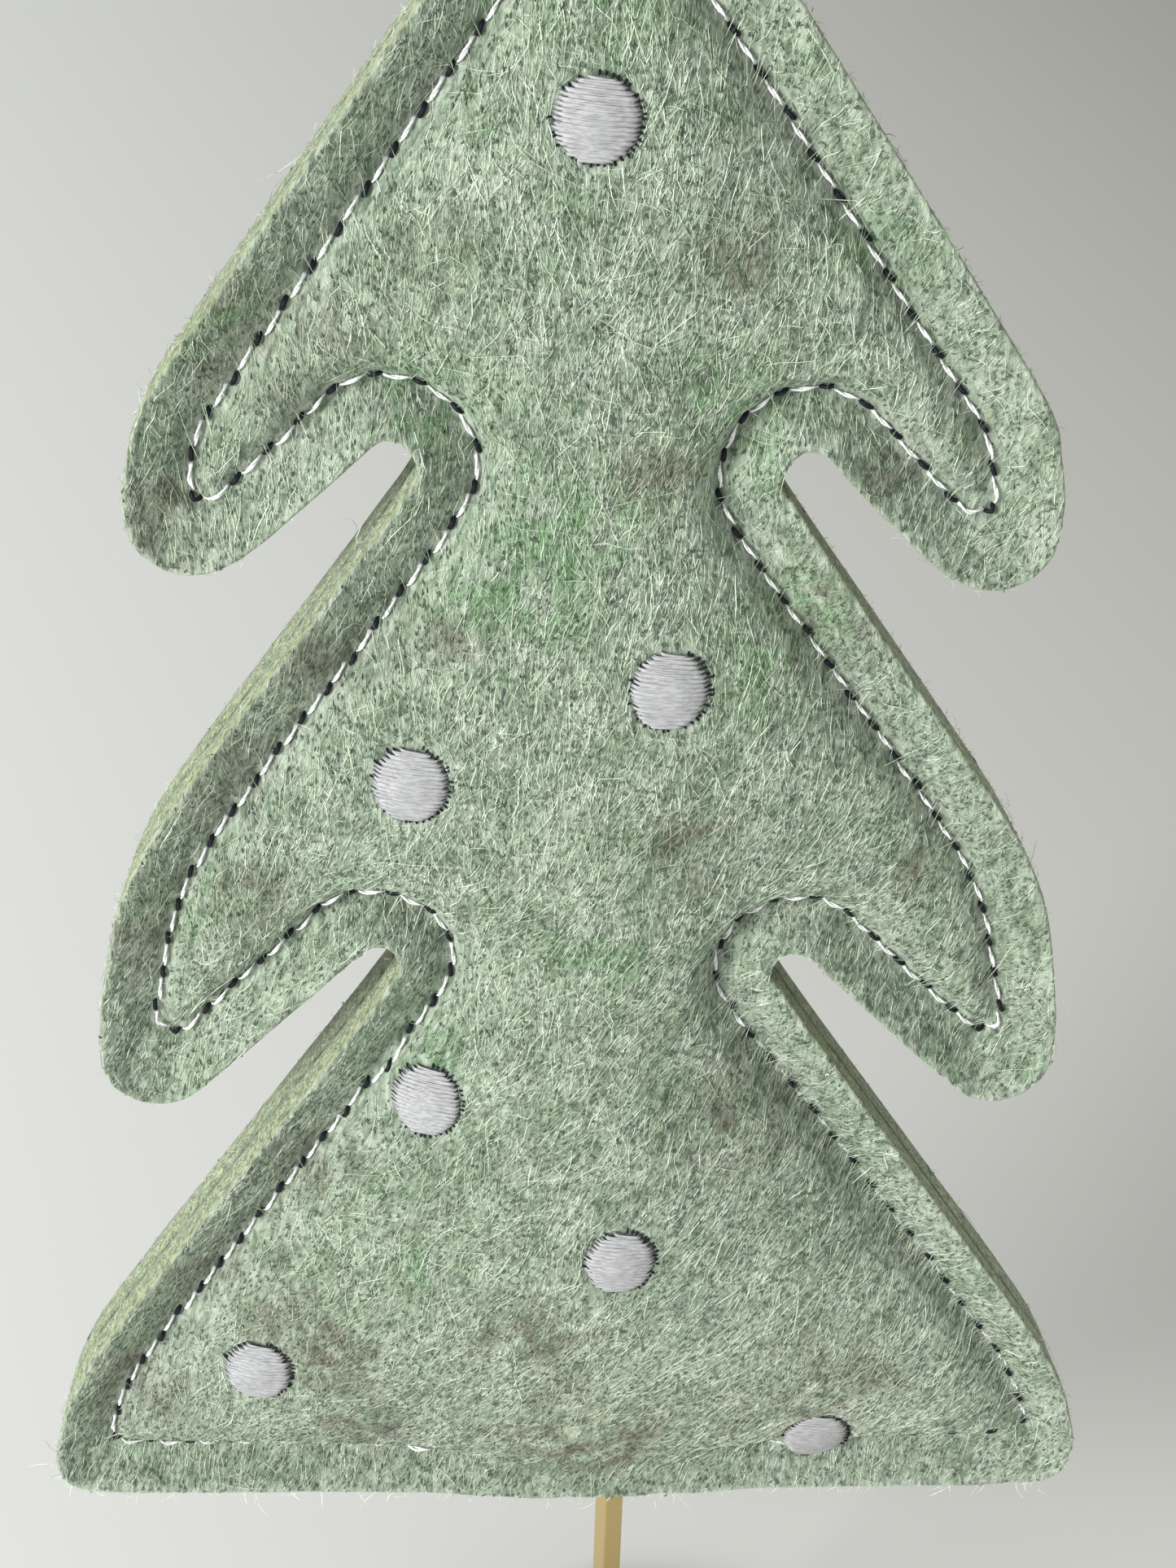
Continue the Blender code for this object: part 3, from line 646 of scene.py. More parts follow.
class Relief:
    """Heights of a felt face and distances on it, over an even grid seen from the front."""

    STEP = 0.0004
    MARGIN = 0.004
    RAY_START = 0.03
    SPREAD_ROUNDS = 12
    HEIGHT_OUTSIDE = 0.002

    def __init__(self, piece, facing):
        mesh = piece.data
        tree = BVHTree.FromPolygons([vertex.co for vertex in mesh.vertices],
                                    [face.vertices for face in mesh.polygons])
        self.left = FELT_LOW.x - self.MARGIN
        self.bottom = FELT_LOW.z - self.MARGIN
        columns = int((FELT_WIDTH + 2 * self.MARGIN) / self.STEP) + 2
        rows = int((FELT_HEIGHT + 2 * self.MARGIN) / self.STEP) + 2
        self.facing = facing
        self.height = np.full((rows, columns), np.nan)
        inwards = Vector((0.0, -facing, 0.0))
        for row in range(rows):
            up = self.bottom + row * self.STEP
            for column in range(columns):
                start = Vector((self.left + column * self.STEP, facing * self.RAY_START, up))
                hit = tree.ray_cast(start, inwards)[0]
                if hit is not None:
                    self.height[row, column] = hit.y * facing
        self.inside = ~np.isnan(self.height)
        self.spread_heights()
        across, up = np.meshgrid(np.arange(columns) * self.STEP + self.left,
                                 np.arange(rows) * self.STEP + self.bottom)
        places = np.stack((across.ravel(), up.ravel()), axis=1)
        self.from_seam = distances(places, seam_line()[0], closed=False).reshape(rows, columns)
        self.from_edge = distances(places, even_line(outline_ring(), 2 * EDGE_STEP)).reshape(rows, columns)

    def spread_heights(self):
        """Carry the heights a little past the edge."""
        for _ in range(self.SPREAD_ROUNDS):
            known = ~np.isnan(self.height)
            total = np.zeros_like(self.height)
            count = np.zeros_like(self.height)
            for axis, shift in ((0, 1), (0, -1), (1, 1), (1, -1)):
                total += np.roll(np.where(known, self.height, 0.0), shift, axis)
                count += np.roll(known, shift, axis)
            fresh = ~known & (count > 0)
            self.height[fresh] = total[fresh] / count[fresh]
        self.height[np.isnan(self.height)] = self.HEIGHT_OUTSIDE

    def at(self, layer, across, up):
        """A layer's value at places, evened out between the grid's points."""
        column = np.clip((across - self.left) / self.STEP, 0, layer.shape[1] - 1.001)
        row = np.clip((up - self.bottom) / self.STEP, 0, layer.shape[0] - 1.001)
        left, low = column.astype(int), row.astype(int)
        x, y = column - left, row - low
        values = layer.astype(float)
        return ((values[low, left] * (1 - x) + values[low, left + 1] * x) * (1 - y)
                + (values[low + 1, left] * (1 - x) + values[low + 1, left + 1] * x) * y)

    def points(self, across, up, lift):
        """Places on the felt, lifted off it."""
        return np.stack((across, self.facing * (self.at(self.height, across, up) + lift), up), axis=-1)


RELIEFS = {}


def relief(side):
    """The relief of the finished front or back felt."""
    if side not in RELIEFS:
        RELIEFS[side] = Relief(bpy.data.objects[f"{side}_felt"], FACINGS[side])
    return RELIEFS[side]


# Patterns that are modelled once and laid along many lines


def pattern_from(piece):
    """Points and faces of a pattern, which is then removed."""
    points = points_of(piece.data)
    faces = {}
    for face in piece.data.polygons:
        faces.setdefault(len(face.vertices), []).append(tuple(face.vertices))
    mesh = piece.data
    bpy.data.objects.remove(piece)
    bpy.data.meshes.remove(mesh)
    return points, [np.array(block) for block in faces.values()]


def ribbon_pattern(segments):
    """A flat fibre, one unit long and wide, that narrows to its ends."""
    deselect_all()
    bpy.ops.mesh.primitive_grid_add(x_subdivisions=segments, y_subdivisions=1, size=1.0,
                                    location=(0.5, 0.0, 0.0))
    fibre = bpy.context.object
    deselect_all()
    fibre.select_set(True)
    bpy.ops.object.transform_apply(location=True)
    points = points_of(fibre.data)
    points[:, 1] *= 1 - 0.7 * np.abs(2 * points[:, 0] - 1) ** 2
    set_points(fibre.data, points)
    return pattern_from(fibre)


def cord_pattern(sides, segments, plies, turns, slimmer=0.25):
    """A thread one unit long and two wide: one strand, or two that twist round each other."""
    deselect_all()
    bpy.ops.mesh.primitive_circle_add(vertices=sides, radius=1.0, fill_type="NGON",
                                      rotation=(0.0, math.pi / 2, 0.0))
    thread = bpy.context.object
    bpy.ops.object.transform_apply(rotation=True)
    edit(thread)
    bpy.ops.transform.resize(value=(1.0, slimmer, slimmer))
    for segment in range(segments):
        bpy.ops.mesh.extrude_region_move(TRANSFORM_OT_translate={"value": (1 / segments, 0.0, 0.0)})
        if segment == 0:
            bpy.ops.transform.resize(value=(1.0, 1 / slimmer, 1 / slimmer))
    bpy.ops.transform.resize(value=(1.0, slimmer, slimmer))
    bpy.ops.mesh.select_all(action="SELECT")
    bpy.ops.mesh.normals_make_consistent(inside=False)
    if plies == 2:
        bpy.ops.transform.resize(value=(1.0, PLY_RADIUS, PLY_RADIUS))
        bpy.ops.transform.translate(value=(0.0, PLY_OFFSET, 0.0))
        bpy.ops.mesh.duplicate()
        bpy.ops.transform.translate(value=(0.0, -2 * PLY_OFFSET, 0.0))
    bpy.ops.object.mode_set(mode="OBJECT")
    if turns:
        points = points_of(thread.data)
        turned = points[:, 0] * turns * 2 * math.pi
        y, z = points[:, 1].copy(), points[:, 2].copy()
        points[:, 1] = y * np.cos(turned) - z * np.sin(turned)
        points[:, 2] = y * np.sin(turned) + z * np.cos(turned)
        set_points(thread.data, points)
    return pattern_from(thread)


def laid_along(pattern, lines, up, width, height):
    """Copies of a pattern, each bent along its own line, with up as the way off the felt."""
    points, faces = pattern
    count, steps = lines.shape[:2]
    ways = np.gradient(lines, axis=1)
    ways /= np.maximum(np.linalg.norm(ways, axis=2), 1e-12)[:, :, None]
    up = np.broadcast_to(up, lines.shape)
    offs = up - ways * (up * ways).sum(axis=2)[:, :, None]
    offs = offs / np.maximum(np.linalg.norm(offs, axis=2), 1e-12)[:, :, None]
    sides = np.cross(offs, ways)
    place = np.clip(points[:, 0], 0, 1) * (steps - 1)
    low = np.minimum(place.astype(int), steps - 2)
    share = (place - low)[None, :, None]

    def between(values):
        return values[:, low] * (1 - share) + values[:, low + 1] * share

    width = np.broadcast_to(width, count)[:, None, None]
    height = np.broadcast_to(height, count)[:, None, None]
    laid = between(lines) + between(sides) * points[None, :, 1, None] * width
    laid = laid + between(offs) * points[None, :, 2, None] * height
    starts = (np.arange(count) * len(points))[:, None, None]
    return laid.reshape(-1, 3), [(block[None] + starts).reshape(-1, block.shape[1]) for block in faces]


def spread_value(values, pattern):
    """One value for each copy, repeated for the points of the copy."""
    return np.repeat(values, len(pattern[0]))


def joined(parts):
    """Several sets of points and faces as one."""
    points = []
    faces = {}
    first = 0
    for some, blocks in parts:
        points.append(some)
        for block in blocks:
            faces.setdefault(block.shape[1], []).append(block + first)
        first += len(some)
    return np.concatenate(points), [np.concatenate(blocks) for blocks in faces.values()]


# Materials


def add_node(tree, kind, inputs=None, **settings):
    """A shader node with its inputs set or linked."""
    made = tree.nodes.new("ShaderNode" + kind)
    for setting, value in settings.items():
        setattr(made, setting, value)
    for socket, value in (inputs or {}).items():
        if isinstance(value, bpy.types.NodeSocket):
            tree.links.new(value, made.inputs[socket])
        else:
            made.inputs[socket].default_value = value
    return made


def new_material(name):
    """A material with its Principled shader."""
    made = bpy.data.materials.new(name)
    made.use_nodes = True
    tree = made.node_tree
    return made, tree, tree.nodes["Principled BSDF"]


def mix(tree, share, first, second, blend="MIX"):
    """Two colours mixed by a share."""
    made = add_node(tree, "Mix", {0: share, 6: first, 7: second}, data_type="RGBA", blend_type=blend)
    return made.outputs[2]


def opaque(colour):
    """A stored colour with full cover."""
    return (*colour, 1.0)


def spread(tree, value, low, high, to_low=0.0, to_high=1.0):
    """A value spread from one range to another, kept inside it."""
    made = add_node(tree, "MapRange", {0: value, 1: low, 2: high, 3: to_low, 4: to_high})
    return made.outputs[0]


def patches(tree, scale, detail, low, high, offset=(0.0, 0.0, 0.0), stretch=(1.0, 1.0, 1.0), turn=0.0):
    """Soft patches on the felt, from 0 to 1."""
    place = add_node(tree, "TexCoord").outputs["Object"]
    moved = add_node(tree, "Mapping", {"Vector": place, "Location": offset, "Scale": stretch,
                                       "Rotation": (0.0, turn, 0.0)})
    made = add_node(tree, "TexNoise", {"Vector": moved.outputs[0], "Scale": scale, "Detail": detail,
                                       "Roughness": 0.6})
    return spread(tree, made.outputs[0], low, high)


def times(tree, first, second):
    """Two values multiplied."""
    return add_node(tree, "Math", {0: first, 1: second}, operation="MULTIPLY").outputs[0]


def noted(tree, name):
    """A value that is stored at the points of a piece."""
    return add_node(tree, "Attribute", attribute_name=name).outputs["Fac"]


def felt_colour(tree):
    """The marled colour of the felt at a place: green, deeper green, pale, vivid green and brown-grey, with
    painted light in the pale patches low down and painted shade in some brown patches.
    """
    colours = bpy.context.scene.felt_tree_colours
    pale_share = patches(tree, 240.0, 6.0, 0.34, 0.72)
    main = mix(tree, pale_share, opaque(colours.green_fibre), opaque(colours.pale_fibre))
    deep_share = patches(tree, 1000.0, 3.0, 0.48, 0.64, (0.3, 0.1, 0.7))
    main = mix(tree, times(tree, deep_share, 0.6), main, opaque(colours.deep_fibre))
    # Painted light: the pale share from the patches low down
    main = mix(tree, times(tree, noted(tree, "pale"), 0.36), main, opaque(colours.pale_fibre))
    vivid_share = times(tree, noted(tree, "vivid"), patches(tree, 420.0, 3.0, 0.37, 0.54, (0.7, 0.2, 0.4)))
    main = mix(tree, vivid_share, main, opaque(colours.vivid_fibre))
    # Brown share, partly painted shade where the patches lie on the shaded left flanges and by the right
    # slot's seam
    brown_and_shade_share = times(tree, noted(tree, "brown"), patches(tree, 330.0, 6.0, 0.42, 0.62, (0.9, 0.4, 0.2)))
    return mix(tree, brown_and_shade_share, main, opaque(colours.brown_fibre))


def felt_material(name):
    """Needled felt under its nap: marled and matted, darkened beneath the nap as painted shade, with specks
    of painted shade in the gaps between fibres, and an olive cut edge with painted shade on its underside
    and along the gap between the two layers.
    """
    colours = bpy.context.scene.felt_tree_colours
    made, tree, shader = new_material(name)
    # Painted shade: the felt beneath the nap is mixed most of the way to the deepest green, so the gaps
    # between fibres read dark
    base = mix(tree, 0.72, felt_colour(tree), opaque(colours.deep_fibre))
    strands = None
    for turn, scale in ((0.35, 1300.0), (-0.5, 1500.0), (1.1, 1150.0)):
        share = patches(tree, scale, 2.0, 0.46, 0.66, (turn, 0.0, 0.0), (1.0, 1.0, 0.16), turn)
        strands = share if strands is None else add_node(
            tree, "Math", {0: strands, 1: share}, operation="MAXIMUM").outputs[0]
    cut = noted(tree, "cut_edge")
    strands = times(tree, strands, spread(tree, cut, 0.0, 1.0, 1.0, 0.0))
    base = mix(tree, times(tree, strands, 0.4), base, opaque(colours.pale_fibre))
    # Painted shade: near-black specks where the gaps between the fibres lie in shade
    shade_flecks = patches(tree, 2600.0, 1.0, 0.66, 0.74, (0.5, 0.5, 0.5))
    base = mix(tree, times(tree, shade_flecks, 0.6), base, GAP_SHADE_SPECK)
    olive = mix(tree, patches(tree, 1300.0, 4.0, 0.38, 0.56), opaque(colours.cut_edge), DARK_OLIVE)
    grains = patches(tree, 3100.0, 2.0, 0.50, 0.60, (0.4, 0.3, 0.6))
    olive = mix(tree, times(tree, grains, 0.55), olive, PALE_GRAIN)
    speckle = patches(tree, 4300.0, 1.0, 0.53, 0.60, (0.1, 0.8, 0.3))
    olive = mix(tree, times(tree, speckle, 0.85), olive, DARK_SPECK)
    # Painted shade: the cut edge is browned and darkened where it faces down
    olive = mix(tree, times(tree, noted(tree, "under_edge"), 0.7), olive, opaque(colours.brown_fibre))
    base = mix(tree, times(tree, cut, 0.95), base, olive)
    rim = times(tree, spread(tree, cut, 0.0, 0.5), spread(tree, cut, 0.5, 1.0, 1.0, 0.0))
    nicks = patches(tree, 1500.0, 3.0, 0.50, 0.58, (0.6, 0.1, 0.2))
    tawny = mix(tree, nicks, TAWNY_RIM, RIM_NICK)
    base = mix(tree, times(tree, rim, 0.8), base, tawny)
    # Painted shade: a dark line along the gap where the two felt layers meet on the cut edge
    base = mix(tree, times(tree, noted(tree, "between"), 0.35), base, LAYER_GAP_SHADE)
    tree.links.new(base, shader.inputs["Base Color"])
    grain = patches(tree, 1700.0, 5.0, 0.25, 0.75, (0.2, 0.6, 0.4))
    height = add_node(tree, "Math", {0: grain, 1: strands}, operation="ADD").outputs[0]
    bump = add_node(tree, "Bump", {"Height": height, "Strength": 0.6, "Distance": 0.0002})
    tree.links.new(bump.outputs[0], shader.inputs["Normal"])
    shader.inputs["Roughness"].default_value = 0.95
    shader.inputs["Specular IOR Level"].default_value = 0.2
    shader.inputs["Sheen Weight"].default_value = 0.25
    shader.inputs["Sheen Roughness"].default_value = 0.6
    return made


def nap_material(name):
    """Loose fibres: each has its own tint of the colour of the felt beneath."""
    colours = bpy.context.scene.felt_tree_colours
    made, tree, shader = new_material(name)
    tint = noted(tree, "tint")
    felt = felt_colour(tree)
    # The brown share is partly painted shade; there the pale fibres are dulled and browned
    browned = spread(tree, noted(tree, "brown"), 0.2, 1.0)
    fibre = mix(tree, browned, opaque(colours.pale_fibre), BROWNED_FIBRE)
    paleness = spread(tree, tint, 0.45, 1.0, 0.0, 0.9)
    paleness = times(tree, paleness, spread(tree, browned, 0.0, 1.0, 1.0, 0.55))
    pale = mix(tree, paleness, felt, fibre)
    # Dark fibres, and the short fibres laid on as painted shade of the gaps, turn to the deepest green
    dark = mix(tree, spread(tree, tint, 0.0, 0.25, 0.9, 0.0), pale, opaque(colours.deep_fibre))
    # Fine darker mottling of the fibres towards the deepest green
    dark_mottle = times(tree, patches(tree, 2300.0, 2.0, 0.50, 0.60, (0.2, 0.5, 0.8)), 0.45)
    tree.links.new(mix(tree, dark_mottle, dark, opaque(colours.deep_fibre)), shader.inputs["Base Color"])
    shader.inputs["Roughness"].default_value = 0.5
    shader.inputs["Specular IOR Level"].default_value = 0.45
    shader.inputs["Sheen Weight"].default_value = 0.1
    return made


def thread_material(name):
    """Spun polyester thread with fine filaments along and across."""
    colour = getattr(bpy.context.scene.felt_tree_colours, name)
    made, tree, shader = new_material(name)
    satin = name == "satin_thread"
    # On the satin rows the tone is stretched into slanted dashes: painted sheen and shade of the twisted
    # filaments. On the other threads it is a fine random tone.
    stretch = (0.22, 1.0, 1.0) if satin else (1.0, 1.0, 1.0)
    tone = patches(tree, 5200.0, 2.0, 0.38, 0.62, (0.0, 0.0, 0.0), stretch, 0.30 if satin else 0.0)
    shade = tuple(part * 0.72 for part in colour)
    tree.links.new(mix(tree, tone, opaque(shade), opaque(colour)), shader.inputs["Base Color"])
    grain = patches(tree, 9000.0, 2.0, 0.3, 0.7, (0.4, 0.2, 0.0))
    bump = add_node(tree, "Bump", {"Height": grain, "Strength": 0.35, "Distance": 0.00003})
    tree.links.new(bump.outputs[0], shader.inputs["Normal"])
    shader.inputs["Roughness"].default_value = 0.5
    shader.inputs["Specular IOR Level"].default_value = 0.5 if max(colour) > 0.1 else 0.15
    return made


def gold_material(name):
    """Gold-coloured metal with drawn lines along the rod and light handling marks."""
    colours = bpy.context.scene.felt_tree_colours
    made, tree, shader = new_material(name)
    drawn = patches(tree, 2600.0, 3.0, 0.3, 0.7, (0.0, 0.0, 0.0), (1.0, 1.0, 0.02))
    dull = patches(tree, 300.0, 4.0, 0.45, 0.75, (0.6, 0.0, 0.1))
    deeper = tuple(part * 0.78 for part in colours.gold)
    tree.links.new(mix(tree, dull, opaque(colours.gold), opaque(deeper)), shader.inputs["Base Color"])
    roughness = add_node(tree, "Math", {0: spread(tree, drawn, 0.0, 1.0, 0.22, 0.34),
                                        1: spread(tree, dull, 0.0, 1.0, 0.0, 0.14)}, operation="ADD")
    tree.links.new(roughness.outputs[0], shader.inputs["Roughness"])
    bump = add_node(tree, "Bump", {"Height": drawn, "Strength": 0.12, "Distance": 0.00002})
    tree.links.new(bump.outputs[0], shader.inputs["Normal"])
    shader.inputs["Metallic"].default_value = 1.0
    return made


def pad_material(name):
    """Dark foam rubber with open pores, painted darker inside them as shade."""
    made, tree, shader = new_material(name)
    pores = add_node(tree, "TexVoronoi", {"Scale": 2200.0})
    # Painted shade: the pores are darker than the foam round them
    share = spread(tree, pores.outputs["Distance"], 0.1, 0.5)
    tree.links.new(mix(tree, share, (0.008, 0.008, 0.008, 1.0), (0.035, 0.035, 0.036, 1.0)),
                   shader.inputs["Base Color"])
    bump = add_node(tree, "Bump", {"Height": share, "Strength": 0.5, "Distance": 0.0001})
    tree.links.new(bump.outputs[0], shader.inputs["Normal"])
    shader.inputs["Roughness"].default_value = 0.9
    return made


def filling_material(name):
    """Loose white fibre."""
    made, tree, shader = new_material(name)
    tone = patches(tree, 700.0, 4.0, 0.3, 0.7)
    fibre = mix(tree, tone, (0.52, 0.52, 0.50, 1.0), (0.84, 0.84, 0.82, 1.0))
    tree.links.new(fibre, shader.inputs["Base Color"])
    shader.inputs["Roughness"].default_value = 1.0
    shader.inputs["Sheen Weight"].default_value = 0.4
    return made


def finish(name):
    """A finish of the object, made once and shared after that."""
    return bpy.data.materials.get(name) or FINISHES[name](name)


FINISHES = {
    "needled_felt": felt_material,
    "nap_fibre": nap_material,
    "white_thread": thread_material,
    "satin_thread": thread_material,
    "black_thread": thread_material,
    "gold_metal": gold_material,
    "pad_rubber": pad_material,
    "white_filling": filling_material,
}


# Felt panels


def neighbour_means(mesh, values, rounds, held):
    """Values evened out along the edges of a mesh, where they aren't held."""
    ends = np.empty(len(mesh.edges) * 2, int)
    mesh.edges.foreach_get("vertices", ends)
    ends = ends.reshape(-1, 2)
    count = np.bincount(ends.ravel(), minlength=len(values))
    for _ in range(rounds):
        total = np.bincount(ends[:, 0], values[ends[:, 1]], len(values))
        total += np.bincount(ends[:, 1], values[ends[:, 0]], len(values))
        values = np.where(held, values, total / count)
    return values


def stuff(piece, crown):
    """Blow the crown up over its sewn rim with a cloth simulation, within a limit."""
    sizes = bpy.context.scene.felt_tree_felt
    before = points_of(piece.data)
    sewn = piece.vertex_groups.new(name="sewn")
    sewn.add([int(index) for index in np.flatnonzero(~crown)], 1.0, "REPLACE")
    cloth = piece.modifiers.new("stuffing", "CLOTH")
    cloth.point_cache.frame_start = 1
    cloth.point_cache.frame_end = STUFFING_STEPS
    settings = cloth.settings
    settings.quality = 4
    settings.mass = 0.05
    settings.use_pressure = True
    settings.uniform_pressure_force = sizes.stuffing_pressure
    settings.effector_weights.gravity = 0.0
    settings.vertex_group_mass = "sewn"
    settings.tension_stiffness = 6.0
    settings.compression_stiffness = 6.0
    settings.shear_stiffness = 3.0
    settings.bending_stiffness = 0.1
    cloth.collision_settings.use_collision = False
    for step in range(1, STUFFING_STEPS + 1):
        bpy.context.scene.frame_set(step)
    apply_named(piece, cloth.name)
    bpy.context.scene.frame_set(1)
    moved = points_of(piece.data) - before
    reach = np.linalg.norm(moved, axis=1)
    moved *= (np.minimum(reach, sizes.stuffing_limit) / np.maximum(reach, 1e-12))[:, None]
    set_points(piece.data, before + moved)
    piece.vertex_groups.clear()


def normals_of(mesh):
    """The normals at all points of a mesh."""
    flat = np.empty(len(mesh.vertices) * 3)
    mesh.vertices.foreach_get("normal", flat)
    return flat.reshape(-1, 3)


def noise_at(points, scale, shift):
    """Smooth noise at points, from about -1 to 1."""
    offset = Vector(shift)
    return np.array([noise.noise(Vector(point) * scale + offset) for point in points])


def felt_panel(side):
    """One felt panel: a smooth stuffed crown, a domed flange and the groove that the stitches pull."""
    sizes = bpy.context.scene.felt_tree_felt
    facing = FACINGS[side]
    piece = copied_node(f"{side}_panel", f"{side}_felt")
    mesh = piece.data
    shape = bmesh.new()
    shape.from_mesh(mesh)
    crease = shape.edges.layers.float.new("crease_edge")
    for edge in shape.edges:
        if edge.calc_face_angle() > 1.2:
            edge[crease] = 0.8
    shape.to_mesh(mesh)
    shape.free()
    fineness = sizes.surface_fineness
    apply_modifier(piece, "SUBSURF", "smooth", levels=fineness, render_levels=fineness)
    seam, marks = seam_line()
    outline = outline_ring()
    ring = inset_ring(outline, bpy.context.scene.felt_tree_thread.seam_margin)[::2]
    points = points_of(mesh)
    points[:, (0, 2)] += slot_rise(points[:, (0, 2)], slot_ends(outline))
    outer = normals_of(mesh)[:, 1] * facing > 0.3
    places = points[:, (0, 2)]
    stuffed = outer & inside_ring(places, ring)
    held = ~(stuffed & (distances(places, ring) > HELD_BY_SEAM))
    points[:, 1] = neighbour_means(mesh, points[:, 1], EVENING_ROUNDS, held)
    set_points(mesh, points)
    stuff(piece, ~held)
    apply_modifier(piece, "SUBSURF", "fine", levels=1, render_levels=1)
    mesh = piece.data
    if "crease_edge" in mesh.attributes:
        mesh.attributes.remove(mesh.attributes["crease_edge"])
    shape_surface(piece, facing, seam, places_along(seam, marks))
    mesh.shade_smooth()
    mesh.materials.append(finish("needled_felt"))
    return finish_piece(piece, "green_felt", f"{side}_panel")


def inside_ring(places, ring):
    """Which places lie inside a ring."""
    inside = np.zeros(len(places), bool)
    for here, there in zip(ring, np.roll(ring, -1, axis=0)):
        spans = (here[1] > places[:, 1]) != (there[1] > places[:, 1])
        if spans.any():
            crossing = here[0] + (places[:, 1] - here[1]) * (there[0] - here[0]) / (there[1] - here[1])
            inside ^= spans & (places[:, 0] < crossing)
    return inside


def widened(places, depth):
    """How far the cut edge stands out where it faces up, more towards the front."""
    edge = even_line(outline_ring(), EDGE_STEP)
    way = ring_ways(edge, 3)
    tree = place_tree(edge)
    near = way[[tree.find((across, up, 0.0))[1] for across, up in places]]
    out = np.stack((near[:, 1], -near[:, 0]), axis=1)
    most = np.where(places[:, 0] > FELT_CENTRE, RIGHT_EDGE_STANDS, LEFT_EDGE_STANDS)
    most = most * np.clip(out[:, 1] * 3, 0, 1)
    return out * (most * np.clip((0.003 - depth) / 0.006, 0, 1.2))[:, None]


def seat_dots(points, places, outer, sunk):
    """Hold the felt even beneath each dot, and press a shallow ring in round it."""
    for dot in DOTS:
        centre, half = dot_place(dot)
        reach = np.hypot((places[:, 0] - centre.x) / half.x, (places[:, 1] - centre.z) / half.z)
        beneath = outer * (reach < 1) > 0.5
        flat = np.stack((np.ones(len(points)), points[:, 0] - centre.x, points[:, 2] - centre.z), axis=1)
        rest = np.linalg.lstsq(flat[beneath], points[beneath, 1], rcond=None)[0]
        rest = rest * (1.0, DOT_FLATNESS, DOT_FLATNESS)
        share = np.clip((1.35 - reach) / 0.35, 0, 1)
        held = outer * share ** 2 * (3 - 2 * share)
        points[:, 1] += held * (flat @ rest - points[:, 1])
        sunk *= 1 - held
        sunk += DIMPLE_DEPTH * np.exp(-((reach - 0.85) / 0.30) ** 2)


def shape_surface(piece, facing, seam, holes):
    """Press the groove, the needle holes, the dimples at the dots and the felt's lumps into the surface."""
    sizes = bpy.context.scene.felt_tree_felt
    mesh = piece.data
    points = points_of(mesh)
    normals = normals_of(mesh)
    out = normals[:, 1] * facing
    places = points[:, (0, 2)]
    from_seam = distances(places, seam, closed=False)
    outer = np.clip((out - 0.2) / 0.4, 0, 1)
    gap = np.full(len(points), 1.0)
    near = from_seam < 0.004
    gap[near] = np.linalg.norm(places[near][:, None] - holes[None], axis=2).min(axis=1)
    sunk = sizes.groove_depth * 0.6 * np.exp(-(from_seam / GROOVE_SPREAD) ** 2)
    sunk += sizes.groove_depth * 0.5 * np.exp(-(gap / HOLE_SPREAD) ** 2)
    if facing == FACINGS["front"]:
        seat_dots(points, places, outer, sunk)
    from_edge = distances(places, outline_ring())
    sunk -= np.interp(from_edge, TILT_PLACES, TILT_SHARES) * sizes.flange_tilt
    coarse = noise_at(points, 260.0, (3.0 * facing, 1.0, 2.0))
    fine = noise_at(points, 620.0, (7.0, facing, 5.0))
    lumps = coarse * 0.6 + fine * 0.4
    points[:, 1] += facing * outer * (lumps * sizes.lump_height - sunk)
    near_edge = np.clip(1.4 - from_edge / 0.0015, 0, 1)
    points[:, (0, 2)] += widened(places, points[:, 1]) * near_edge[:, None]
    set_points(mesh, points)
    cut = np.clip((0.62 - np.abs(out)) / 0.25, 0, 1) * (from_edge < CUT_EDGE_REACH)
    # Painted shade mask: the part of the cut edge that faces down
    under = cut * np.clip(-normals[:, 2], 0, 1)
    # Painted shade mask: the middle of the cut edge, where the two layers meet
    between = np.clip((LAYER_GAP_REACH - np.abs(points[:, 1])) / 0.0003, 0, 1)
    note_values(mesh, {"cut_edge": cut, "under_edge": under, "between": between, **patch_shares(points)})


class FELTTREE_OT_panels(bpy.types.Operator):
    """Make the two stuffed felt panels"""

    bl_idname = "felt_tree.panels"
    bl_label = "Felt Panels"

    def execute(self, context):
        felt_panel("front")
        felt_panel("back")
        return {"FINISHED"}


class FELTTREE_OT_filling(bpy.types.Operator):
    """Make the fibre filling between the panels"""

    bl_idname = "felt_tree.filling"
    bl_label = "Fibre Filling"

    def execute(self, context):
        piece = copied_node("fibre_filling", "stuffing_fibre")
        apply_modifier(piece, "SUBSURF", "finer", levels=1, render_levels=1, subdivision_type="SIMPLE")
        mesh = piece.data
        points = points_of(mesh)
        inner = np.abs(points[:, 1]) > 0.002
        points[:, 1] *= np.where(inner, 1 - 0.03 * np.abs(noise_at(points, 900.0, (1.0, 2.0, 3.0))), 1.0)
        set_points(mesh, points)
        mesh.materials.append(finish("white_filling"))
        finish_piece(piece, "white_fibre", "fibre_filling")
        return {"FINISHED"}


# Sewing


def in_shaded_run(across, up):
    """Which places lie on the lowest sloping seam on the right, where the white thread has sunk in."""
    return (across > FELT_CENTRE + SHADED_RUN_FROM) & (up < FELT_BOTTOM + SHADED_RUN_TOP)


